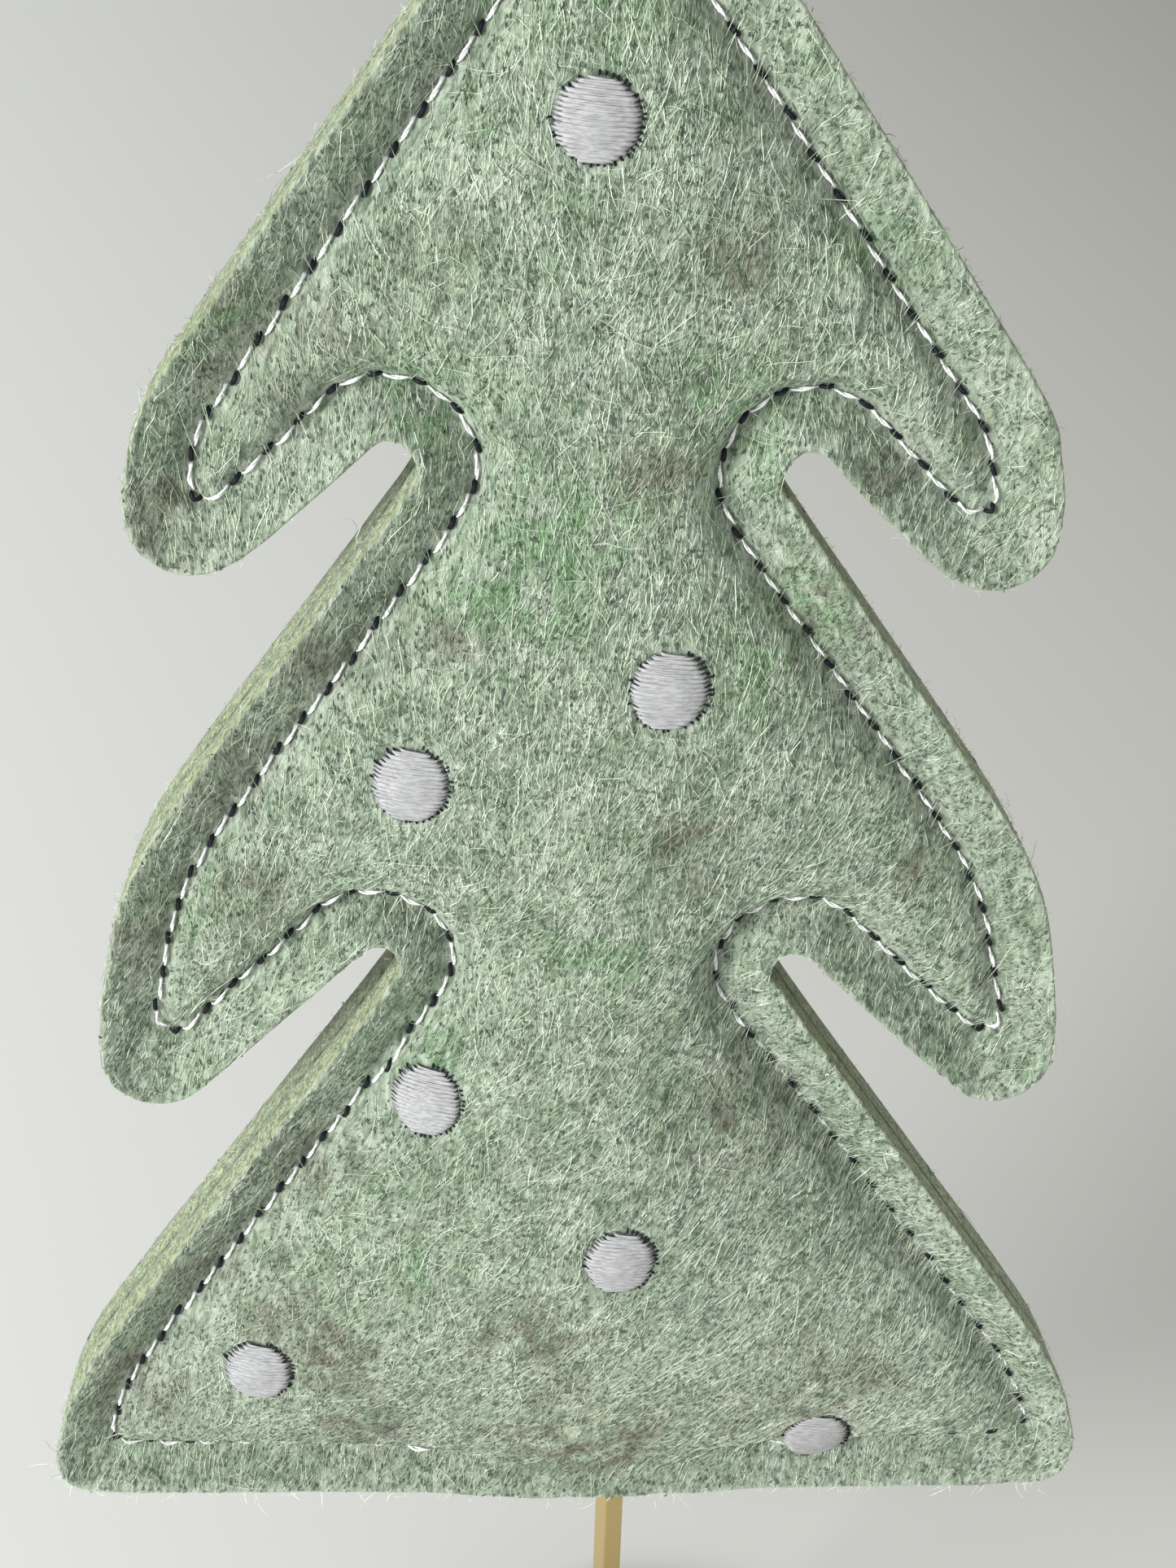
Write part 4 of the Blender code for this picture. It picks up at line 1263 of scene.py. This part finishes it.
def stitch_lines(seam, side, shows, steps, lifts, rng, stray, sunk=0.0):
    """Lines that lie in the groove over part of each stitch, sunk into the felt at their ends."""
    line, marks = seam
    along = marks[:-1, None] + np.linspace(*shows, steps)[None] * np.diff(marks)[:, None]
    across, up = np.moveaxis(places_along(line, along), -1, 0)
    way = np.stack((np.gradient(across, axis=1), np.gradient(up, axis=1)), axis=-1)
    way /= np.maximum(np.linalg.norm(way, axis=-1), 1e-12)[..., None]
    slant = rng.normal(0, stray, (len(along), 1)) + np.linspace(-1, 1, steps)[None] * STITCH_SLANT
    across = across - way[..., 1] * slant
    up = up + way[..., 0] * slant
    shape = np.interp(np.linspace(0, 1, steps), np.linspace(0, 1, len(lifts)), lifts)
    surface = relief(side)
    base = surface.at(surface.height, across, up)
    base = np.maximum(base, base.mean(axis=1)[:, None])
    proud = np.where(up < FELT_BOTTOM + LOW_SEAM_TOP, LOW_SEAM_PROUD, 1.0)
    base = base - np.where(in_shaded_run(across, up), sunk, 0.0)
    lines = np.stack((across, surface.facing * (base + shape[None] * proud), up), axis=-1)
    if side == "front":
        lines = lines[~near_dots(across[:, steps // 2], up[:, steps // 2], 0.0)]
    return lines


def tie_offs(runs):
    """Two loose stitches laid over each end of the seam, like the knots that close it."""
    stitch = bpy.context.scene.felt_tree_thread.stitch_length
    tacks = np.concatenate((runs[:2], runs[-2:])) + np.array(TIE_OFF_SHIFT)
    tacks[:2, :, 0] -= stitch * TIE_OFF_ASIDE
    bow = TIE_OFF_BOW * np.sin(np.linspace(0, math.pi, tacks.shape[1]))
    tacks[:2, :, 2] += bow * np.array(((1.0,), (-0.3,)))
    tacks[2:, :, 0] += stitch * TIE_OFF_ASIDE
    tacks[2:, :, 1] -= TIE_OFF_OUT
    tacks[3, :, 2] -= np.linspace(*TIE_OFF_DROP, tacks.shape[1])
    return tacks


class FELTTREE_OT_seam(bpy.types.Operator):
    """Sew the panels: white stitches on the front, black loops between them and the black row behind"""

    bl_idname = "felt_tree.seam"
    bl_label = "Seam"

    def execute(self, context):
        sizes = context.scene.felt_tree_thread
        rng = np.random.default_rng(SEAM_SEED)
        seam = seam_line()
        white = finish("white_thread")
        black = finish("black_thread")
        plied = cord_pattern(5, 8, 2, 0.9)
        plain = cord_pattern(6, 6, 1, 0)
        radius = sizes.needle_thread / 2
        lifts = np.array(WHITE_LIFTS) * radius
        runs = stitch_lines(seam, "front", WHITE_SHOWS, 11, lifts, rng, 0.00006, SHADED_THREAD_SUNK)
        plump = np.concatenate((rng.uniform(0.9, 1.1, len(runs)), TIE_OFF_PLUMP))
        runs = np.concatenate((runs, tie_offs(runs)))
        stitches = laid_along(plied, runs, OUT_OF_FRONT, radius * plump, radius * plump)
        lifts = np.array(WHITE_LIFTS_BEHIND) * radius
        runs = stitch_lines(seam, "back", WHITE_BEHIND, 7, lifts, rng, 0.00003)
        specks = laid_along(plain, runs, OUT_OF_BACK, radius * 0.8, radius * 0.8)
        needle = piece_from("needle_stitches", *joined([stitches, specks]), white)
        finish_piece(needle, "white_thread", "seam_needle_thread")

        radius = sizes.bobbin_thread / 2
        lifts = np.array(BLACK_LIFTS) * radius
        runs = stitch_lines(seam, "front", BLACK_SHOWS, 9, lifts, rng, 0.00007)
        loops = laid_along(plain, runs, OUT_OF_FRONT, radius * 1.05, radius)
        lifts = np.array(BLACK_LIFTS_BEHIND) * radius
        runs = stitch_lines(seam, "back", BLACK_BEHIND, 13, lifts, rng, 0.00005)
        behind = laid_along(plied, runs, OUT_OF_BACK, radius, radius)
        bobbin = piece_from("bobbin_stitches", *joined([loops, behind]), black)
        finish_piece(bobbin, "dark_thread", "seam_bobbin_thread")
        return {"FINISHED"}


def rest_of_dot(centre, reach):
    """The even slope that a stiff embroidered dot rests on: height, rise across and rise up."""
    surface = relief("front")
    steps = np.linspace(-0.85, 0.85, 9) * reach
    across, up = [grid.ravel() for grid in np.meshgrid(steps, steps)]
    keep = np.hypot(across, up) < reach * 0.9
    across, up = across[keep], up[keep]
    heights = surface.at(surface.height, centre.x + across, centre.z + up)
    return np.linalg.lstsq(np.stack((np.ones(len(across)), across, up), axis=1), heights, rcond=None)[0]


def leant(rest, centre, reach, across, up):
    """Places of a flat round dot after the felt under it has sloped away."""
    steep = np.linalg.norm(rest[1:])
    way = rest[1:] / max(steep, 1e-9)
    along = (across - centre.x) * way[0] + (up - centre.z) * way[1]
    moved = along * (1 / math.sqrt(1 + steep ** 2) - 1) + 0.30 * steep * reach
    return across + way[0] * moved, up + way[1] * moved


def dot_lines(rest, centre, reach, across, up, lift):
    """Lines lifted off a dot's rest: its own slope, or the felt where that is higher."""
    surface = relief("front")
    across, up = leant(rest, centre, reach, across, up)
    slope = rest[0] + rest[1] * (across - centre.x) + rest[2] * (up - centre.z)
    felt = np.maximum(slope, surface.at(surface.height, across, up))
    return np.stack((across, -(felt + lift), up), axis=-1)


def row_lines(rest, centre, half, rng):
    """Lines of the satin rows of one dot, from rim to rim over a low dome."""
    rows = bpy.context.scene.felt_tree_thread.satin_rows
    odd = np.arange(rows) % 2
    share = ((np.arange(rows) + 0.5) / rows * 2 - 1) * 0.95
    half_run = np.sqrt(np.maximum(0.0, 1 - share ** 2))
    left = half_run + rng.uniform(-0.07, 0.05, rows) + 0.04 * odd
    right = half_run + rng.uniform(-0.07, 0.035, rows)
    run = np.linspace(0, 1, 13)[None]
    along = -left[:, None] + (left + right)[:, None] * run
    aside = -share[:, None] + np.where(odd, 0.017, -0.017)[:, None] * (run - 0.5) * 2
    across = centre.x + (along * math.cos(ROW_TURN) - aside * math.sin(ROW_TURN)) * half.x
    up = centre.z + (along * math.sin(ROW_TURN) + aside * math.cos(ROW_TURN)) * half.z
    across_share = (across - centre.x) / half.x
    up_share = (up - centre.z) / half.z
    rise = DOT_RISE * np.sqrt(np.clip(1.03 - across_share ** 2 - up_share ** 2, 0, 1))
    ends = np.clip(np.minimum(run, 1 - run) * (left + right)[:, None] * half.x / ROW_END, 0, 1)
    lift = rise + ROW_RISE * np.sqrt(ends) - 0.00016 * (1 - ends) + rng.uniform(0, 0.00003, (rows, 1))
    return dot_lines(rest, centre, half.x, across, up, lift)


def tick_lines(rest, centre, half, rng):
    """Lines of the black ticks round one dot, sparser at its upper left."""
    around = np.linspace(0, 2 * math.pi, TICKS_ROUND_DOT, endpoint=False)
    around = around + rng.normal(0, 0.02, TICKS_ROUND_DOT)
    close = np.where(np.cos(around + 0.5) > -0.25, 0.95, 0.35)
    around = around[rng.uniform(0, 1, TICKS_ROUND_DOT) < close]
    inner_end = 0.97 + rng.uniform(-0.03, 0.03, len(around))
    outer_end = inner_end + rng.uniform(0.09, 0.16, len(around))
    run = np.linspace(0, 1, 5)[None]
    reach = inner_end[:, None] + (outer_end - inner_end)[:, None] * run
    across = centre.x + np.cos(around)[:, None] * reach * half.x
    up = centre.z + np.sin(around)[:, None] * reach * half.z
    lift = np.interp(run, (0, 0.3, 0.8, 1), (0.00006, 0.00012, 0.00006, -0.00012))
    return dot_lines(rest, centre, half.x, across, up, lift)


def satin_dot(number, row, tick):
    """One embroidered dot: rows of white thread from rim to rim, and the black thread that holds them."""
    rng = np.random.default_rng(DOT_SEED + number)
    centre, half = dot_place(f"dot_{number}")
    rest = rest_of_dot(centre, half.x)
    lines = row_lines(rest, centre, half, rng)
    pitch = 2 * half.z / len(lines)
    widths = pitch * rng.uniform(0.74, 0.84, len(lines))
    points, faces = laid_along(row, lines, OUT_OF_FRONT, widths, pitch * 0.34)
    dot = piece_from(f"satin_dot_{number}", points, faces, finish("satin_thread"))
    finish_piece(dot, "white_thread", f"dot_{number}")

    lines = tick_lines(rest, centre, half, rng)
    ticks = laid_along(tick, lines, OUT_OF_FRONT, TICK_RADIUS, TICK_RADIUS)
    inner = pattern_from(copied_node(f"dot_{number}_bobbin_thread", "lower_thread"))
    lower = piece_from(f"lower_thread_{number}", *joined([ticks, inner]), finish("black_thread"))
    finish_piece(lower, "dark_thread", f"dot_{number}_bobbin_thread")


class FELTTREE_OT_dots(bpy.types.Operator):
    """Embroider the seven dots"""

    bl_idname = "felt_tree.dots"
    bl_label = "Embroidered Dots"

    def execute(self, context):
        row = cord_pattern(5, 12, 1, 0, 0.6)
        tick = cord_pattern(6, 4, 1, 0)
        for number in range(1, len(DOTS) + 1):
            satin_dot(number, row, tick)
        return {"FINISHED"}


# Nap


def near_dots(across, up, margin):
    """Which places lie on or close to an embroidered dot."""
    near = np.zeros(np.shape(across), bool)
    for dot in DOTS:
        centre, half = dot_place(dot)
        near |= np.hypot((across - centre.x) / (half.x + margin), (up - centre.z) / (half.z + margin)) < 1
    return near


def fibre_paths(across, up, heading, lengths):
    """Flat lines that start at places and follow their headings."""
    steps = heading.shape[1] - 1
    step = lengths[:, None] / steps
    start = np.zeros((len(across), 1))
    x = across[:, None] + np.concatenate((start, np.cumsum(np.cos(heading[:, :-1]) * step, axis=1)), axis=1)
    z = up[:, None] + np.concatenate((start, np.cumsum(np.sin(heading[:, :-1]) * step, axis=1)), axis=1)
    return x, z


def nap_lean(across, up):
    """The way the nap lies at places: upright at the upper left, leaning right elsewhere, in slow swirls."""
    shift = np.clip((across - FELT_CENTRE) / 0.035, -1, 1)
    low = np.clip((0.58 - (up - FELT_LOW.z) / FELT_HEIGHT) / 0.25, 0, 1)
    lean = 84 - 24 * np.maximum(shift, 0) - 8 * np.minimum(shift, 0)
    lean = np.radians(lean * (1 - low) + (58 - 6 * shift) * low)
    swirl = noise_at(np.stack((across, np.zeros(len(across)), up), axis=1), 110.0, (3.0, 2.0, 1.0))
    return lean + np.radians(24) * swirl


def stopped(side, x, z, past, crosses):
    """Where fibres run too far off the felt, onto a dot or across the stitches."""
    surface = relief(side)
    off = surface.at(surface.inside, x, z) < 0.5
    off &= surface.at(surface.from_edge, x, z) > np.maximum(past, 0.0)
    off |= (surface.at(surface.from_seam, x, z) < CLEAR_OF_STITCHES) & ~crosses
    return off | near_dots(x, z, 0.0) if side == "front" else off


def nap_batch(side, count, seed, length, width, lift, curl, segments, strays, shade_flecks):
    """Lines of nap fibres on one face, their way up, their widths and the tint of each."""
    rng = np.random.default_rng(seed)
    surface = relief(side)
    across = rng.uniform(FELT_LOW.x, FELT_HIGH.x, count * 3)
    up = rng.uniform(FELT_LOW.z, FELT_HIGH.z, count * 3)
    keep = surface.at(surface.inside, across, up) > 0.9
    across, up = across[keep][:count], up[keep][:count]
    total = len(across)
    wide = np.where(rng.uniform(0, 1, total) < strays, 1.0, 0.26)
    angle = nap_lean(across, up) + rng.normal(0, 1, total) * wide
    angle = angle + math.pi * (rng.uniform(0, 1, total) < 0.5)
    # Painted shade: some short, wide fibres of the deepest green lie on top and stand in for the shaded gaps
    # between fibres
    shade_fleck = rng.uniform(0, 1, total) < shade_flecks
    uneven = np.clip(rng.lognormal(-0.12, 0.5, total), 0.25, 2.4)
    lengths = np.where(shade_fleck, SHADE_FLECK_LENGTH, length * uneven)
    run = np.linspace(0, 1, segments + 1)[None]
    heading = angle[:, None] + rng.normal(0, curl, total)[:, None] * run
    heading = heading + rng.normal(0, curl * 0.8, total)[:, None] * np.sin(run * math.pi * 1.5)
    x, z = fibre_paths(across, up, heading, lengths)
    buried = (up < FELT_BOTTOM + 0.007) | in_shaded_run(across, up)
    crosses = rng.uniform(0, 1, total)[:, None] < np.where(buried, 0.75, 0.05)[:, None]
    past = rng.normal(0.0, PAST_EDGE, total)[:, None]
    off = stopped(side, x, z, past, crosses)
    share = np.where(off.any(axis=1), (off.argmax(axis=1) - 0.5) / segments, 1.0)
    x, z = fibre_paths(across, up, heading, lengths * np.clip(share, 0.05, 1))
    clear = (share > 0.05) & ~stopped(side, x, z, past, crosses).any(axis=1)
    rise = np.where(shade_fleck, lift * 1.8, np.abs(rng.normal(0, lift, total)))
    heights = rise[:, None] * np.sin(run * math.pi * 0.85 + 0.15) + 0.00004
    lines = surface.points(x, z, heights)[clear]
    # Painted light: fibres that stand higher off the felt are made a little paler
    tints = 0.25 + 0.65 * rng.uniform(0, 1, total) ** 1.6 + 0.10 * rise / lift
    tints = np.where(rng.uniform(0, 1, total) < 0.12, 0.05, np.clip(tints, 0, 1))
    tints = np.where(shade_fleck, 0.0, tints)[clear]
    widths = (width * rng.uniform(0.6, 1.35, total) * np.where(shade_fleck, 2.7, 1.0))[clear]
    way = lines[:, -1:] - lines[:, :1]
    way = way / np.maximum(np.linalg.norm(way, axis=2), 1e-9)[..., None]
    out = np.array((0.0, surface.facing, 0.0))[None, None]
    up_way = out + np.cross(way, out) * rng.normal(0, 0.5, (len(lines), 1, 1))
    return lines, up_way, widths, tints


def nap_pieces(side, share):
    """The nap of one face: short fibres in several pieces, and a few long curly ones."""
    sizes = bpy.context.scene.felt_tree_felt
    count = int(sizes.nap_fibres * FELT_SQUARE_CENTIMETRES * share)
    surface = finish("nap_fibre")
    short = ribbon_pattern(SHORT_NAP["segments"])
    pieces = max(1, round(count / FIBRES_IN_PIECE))
    for number in range(1, pieces + 1):
        lines, up, widths, tints = nap_batch(side, count // pieces, NAP_SEEDS[side] + number,
                                             sizes.nap_length, sizes.nap_width, **SHORT_NAP)
        points, faces = laid_along(short, lines, up, widths, widths)
        piece = piece_from(f"{side}_nap_{number}", points, faces, surface, spread_value(tints, short))
        finish_piece(piece, "green_felt")
    curly = ribbon_pattern(CURLY_NAP["segments"])
    lines, up, widths, tints = nap_batch(side, int(count * CURLY_SHARE), CURLY_SEEDS[side],
                                         sizes.nap_length * CURLY_LENGTH, sizes.nap_width * CURLY_WIDTH,
                                         **CURLY_NAP)
    points, faces = laid_along(curly, lines, up, widths, widths)
    piece = piece_from(f"{side}_curly_nap", points, faces, surface, spread_value(tints * 0.5 + 0.4, curly))
    finish_piece(piece, "green_felt")


class FELTTREE_OT_nap(bpy.types.Operator):
    """Lay the nap fibres on both faces"""

    bl_idname = "felt_tree.nap"
    bl_label = "Nap"

    def execute(self, context):
        nap_pieces("front", 1.0)
        nap_pieces("back", 0.6)
        return {"FINISHED"}


def edge_hairs(rng):
    """Lines of the hairs on the cut edge, their way up, their widths and the tint of each."""
    sizes = bpy.context.scene.felt_tree_felt
    edge = even_line(outline_ring(), HAIR_STEP)
    way = ring_ways(edge)
    out = np.stack((way[:, 1], -way[:, 0]), axis=1)
    length = HAIR_STEP * len(edge)
    count = int(sizes.edge_hairs * length * 100)
    weight = np.where(edge[:, 1] < FELT_BOTTOM + HANGING_BELOW, 2.2, 1.0)
    pick = rng.choice(len(edge), count, p=weight / weight.sum())
    surface = relief("front")
    inner = edge - out * EDGE_STEP
    thick = surface.at(surface.height, inner[:, 0], inner[:, 1])[pick]
    edge, way, out = edge[pick], way[pick], out[pick]
    depth = rng.uniform(-1, 1, count) * thick
    lengths = HAIR_LENGTH * np.clip(rng.lognormal(0, 0.55, count), 0.2, 4.5)
    hanging = (edge[:, 1] < FELT_BOTTOM + HANGING_BELOW) & (rng.uniform(0, 1, count) < 0.75)
    lengths = np.where(hanging, lengths * HANGING_LENGTH, lengths)
    loose = (rng.uniform(0, 1, count) < LOOSE_SHARE) & (edge[:, 1] > FELT_BOTTOM + LOOSE_ABOVE)
    lengths = np.where(loose, rng.uniform(*LOOSE_LENGTHS, count), lengths)
    heading = rng.normal(0, 0.95, count)
    bend = rng.normal(0, 1.4, count)
    run = np.linspace(0, 1, 5)[None]
    nowhere = np.zeros(count)
    outwards, aside = fibre_paths(nowhere, nowhere, heading[:, None] + bend[:, None] * run, lengths)
    flatness = np.where(loose, 0.24, np.where(hanging, 0.85, 0.45))
    outwards = np.abs(outwards) * flatness[:, None] - HAIR_ROOT
    start = edge[:, None] + rng.uniform(-0.5, 0.5, (count, 1, 1)) * HAIR_STEP
    start = start + widened(edge, depth)[:, None]
    place = start + out[:, None] * outwards[..., None] + way[:, None] * aside[..., None]
    sway = rng.normal(0, 0.35, count)[:, None] * np.minimum(lengths, 0.002)[:, None] * run
    lines = np.stack((place[..., 0], depth[:, None] + sway, place[..., 1]), axis=-1)
    facing = np.where(rng.uniform(0, 1, count) < 0.5, -1.0, 1.0)
    up = np.stack((out[:, 0] * 0.6, facing * 0.8, out[:, 1] * 0.6), axis=-1)[:, None]
    widths = sizes.nap_width * rng.uniform(0.45, 0.95, count) * np.where(loose | hanging, 1.5, 1.0)
    return lines, up, widths, rng.uniform(np.where(hanging, 0.75, 0.2), 1.0)


class FELTTREE_OT_edge_hairs(bpy.types.Operator):
    """Raise the short hairs on the cut edges"""

    bl_idname = "felt_tree.edge_hairs"
    bl_label = "Edge Hairs"

    def execute(self, context):
        lines, up, widths, tints = edge_hairs(np.random.default_rng(HAIR_SEED))
        hair = ribbon_pattern(4)
        points, faces = laid_along(hair, lines, up, widths, widths)
        piece = piece_from("edge_hairs", points, faces, finish("nap_fibre"), spread_value(tints, hair))
        finish_piece(piece, "green_felt")
        return {"FINISHED"}


# Stand and stage


class FELTTREE_OT_stand(bpy.types.Operator):
    """Finish the metal of the stand and make its pad"""

    bl_idname = "felt_tree.stand"
    bl_label = "Stand"

    def execute(self, context):
        gold = finish("gold_metal")
        for node in ("stand_rod", "foot_plate", "braze_fillet"):
            mesh_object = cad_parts[node]
            for slot in mesh_object.material_slots:
                slot.link = "OBJECT"
                slot.material = gold
        low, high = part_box("foot_pad")
        deselect_all()
        bpy.ops.mesh.primitive_cylinder_add(vertices=96, radius=(high.x - low.x) / 2, depth=high.z - low.z,
                                            location=(low + high) / 2)
        pad = bpy.context.object
        pad.name = "foot_pad_foam"
        pad.data.name = "foot_pad_foam"
        bpy.ops.object.transform_apply(location=True)
        apply_modifier(pad, "BEVEL", "rim", width=0.00018, segments=3, limit_method="ANGLE")
        pad.data.shade_smooth()
        pad.data.set_sharp_from_angle(angle=math.radians(40))
        pad.data.materials.append(finish("pad_rubber"))
        finish_piece(pad, "dark_pad", "foot_pad")
        return {"FINISHED"}


def floor_material():
    """Pale matt floor with the object's shadow on it, and painted shade that darkens it from left to right,
    away from the key light.
    """
    made, tree, shader = new_material("pale_floor")
    colour = bpy.context.scene.felt_tree_stage.floor_colour
    place = add_node(tree, "SeparateXYZ", {0: add_node(tree, "TexCoord").outputs["Object"]}).outputs["X"]
    # Painted shade: the floor darkens towards the right, away from the key light on the left
    painted_shade_right = tuple(part * share for part, share in zip(colour, (0.57, 0.56, 0.52)))
    tone = spread(tree, place, -0.16, 0.22)
    tree.links.new(mix(tree, tone, opaque(colour), opaque(painted_shade_right)), shader.inputs["Base Color"])
    shader.inputs["Roughness"].default_value = 0.6
    shader.inputs["Specular IOR Level"].default_value = 0.25
    return made


class FELTTREE_OT_stage(bpy.types.Operator):
    """Set up the floor, the lights, the world and the camera"""

    bl_idname = "felt_tree.stage"
    bl_label = "Stage"

    def execute(self, context):
        scene = context.scene
        stage = scene.felt_tree_stage
        deselect_all()
        bpy.ops.mesh.primitive_plane_add(size=6.0, location=(0.0, 0.0, 0.0))
        floor = context.object
        floor.name = "floor"
        floor.data.materials.append(floor_material())

        world = bpy.data.worlds.new("soft_room")
        scene.world = world
        world.use_nodes = True
        tree = world.node_tree
        background = tree.nodes["Background"]
        path = add_node(tree, "LightPath")
        soft = mix(tree, path.outputs["Is Camera Ray"], WORLD_LIGHT, WORLD_SEEN)
        soft = mix(tree, path.outputs["Is Glossy Ray"], soft, WORLD_MIRRORED)
        tree.links.new(soft, background.inputs["Color"])
        background.inputs["Strength"].default_value = 1.0

        for name, place, size, power in LAMPS:
            light = bpy.data.lights.new(name, "AREA")
            light.shape = "DISK"
            light.size = size
            light.energy = power
            lamp = bpy.data.objects.new(name, light)
            lamp.location = place
            towards = Vector(LAMP_TARGET) - Vector(place)
            lamp.rotation_euler = towards.to_track_quat("-Z", "Y").to_euler()
            scene.collection.objects.link(lamp)

        camera = bpy.data.cameras.new("photo_camera")
        camera.lens = stage.lens
        camera.sensor_width = 36.0
        camera.clip_start = 0.01
        eye = bpy.data.objects.new("photo_camera", camera)
        place = Vector(stage.camera_place)
        look = (Vector(stage.camera_target) - place).to_track_quat("-Z", "Y")
        eye.location = place
        eye.rotation_euler = (look.to_matrix() @ Matrix.Rotation(stage.camera_roll, 3, "Z")).to_euler()
        scene.collection.objects.link(eye)
        scene.camera = eye
        scene.view_settings.view_transform = "Standard"
        return {"FINISHED"}


class FELTTREE_PT_panel(bpy.types.Panel):
    """List the sizes, colours and steps of the felt tree"""

    bl_idname = "FELTTREE_PT_panel"
    bl_label = "Felt Tree"
    bl_space_type = "VIEW_3D"
    bl_region_type = "UI"
    bl_category = "Felt Tree"

    def draw(self, context):
        for name in GROUPS:
            box = self.layout.box()
            settings = getattr(context.scene, name)
            for key in settings.__annotations__:
                box.prop(settings, key)
        column = self.layout.column(align=True)
        for step in STEPS:
            column.operator(step.bl_idname)


GROUPS = {
    "felt_tree_felt": FeltTreeFelt,
    "felt_tree_thread": FeltTreeThread,
    "felt_tree_colours": FeltTreeColours,
    "felt_tree_stage": FeltTreeStage,
}

STEPS = (
    FELTTREE_OT_stage,
    FELTTREE_OT_panels,
    FELTTREE_OT_filling,
    FELTTREE_OT_seam,
    FELTTREE_OT_dots,
    FELTTREE_OT_nap,
    FELTTREE_OT_edge_hairs,
    FELTTREE_OT_stand,
)


def register():
    """Register the settings, the steps and the panel."""
    for name, group in GROUPS.items():
        bpy.utils.register_class(group)
        setattr(bpy.types.Scene, name, bpy.props.PointerProperty(type=group))
    for step in (*STEPS, FELTTREE_PT_panel):
        bpy.utils.register_class(step)


def unregister():
    """Take the settings, the steps and the panel out again."""
    for step in (FELTTREE_PT_panel, *reversed(STEPS)):
        bpy.utils.unregister_class(step)
    for name, group in reversed(GROUPS.items()):
        delattr(bpy.types.Scene, name)
        bpy.utils.unregister_class(group)


def main():
    """Make the whole object and its stage."""
    register()
    bpy.ops.felt_tree.stage()
    bpy.ops.felt_tree.panels()
    bpy.ops.felt_tree.filling()
    bpy.ops.felt_tree.seam()
    bpy.ops.felt_tree.dots()
    bpy.ops.felt_tree.nap()
    bpy.ops.felt_tree.edge_hairs()
    bpy.ops.felt_tree.stand()
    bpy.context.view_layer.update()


if __name__ == "__main__":
    main()
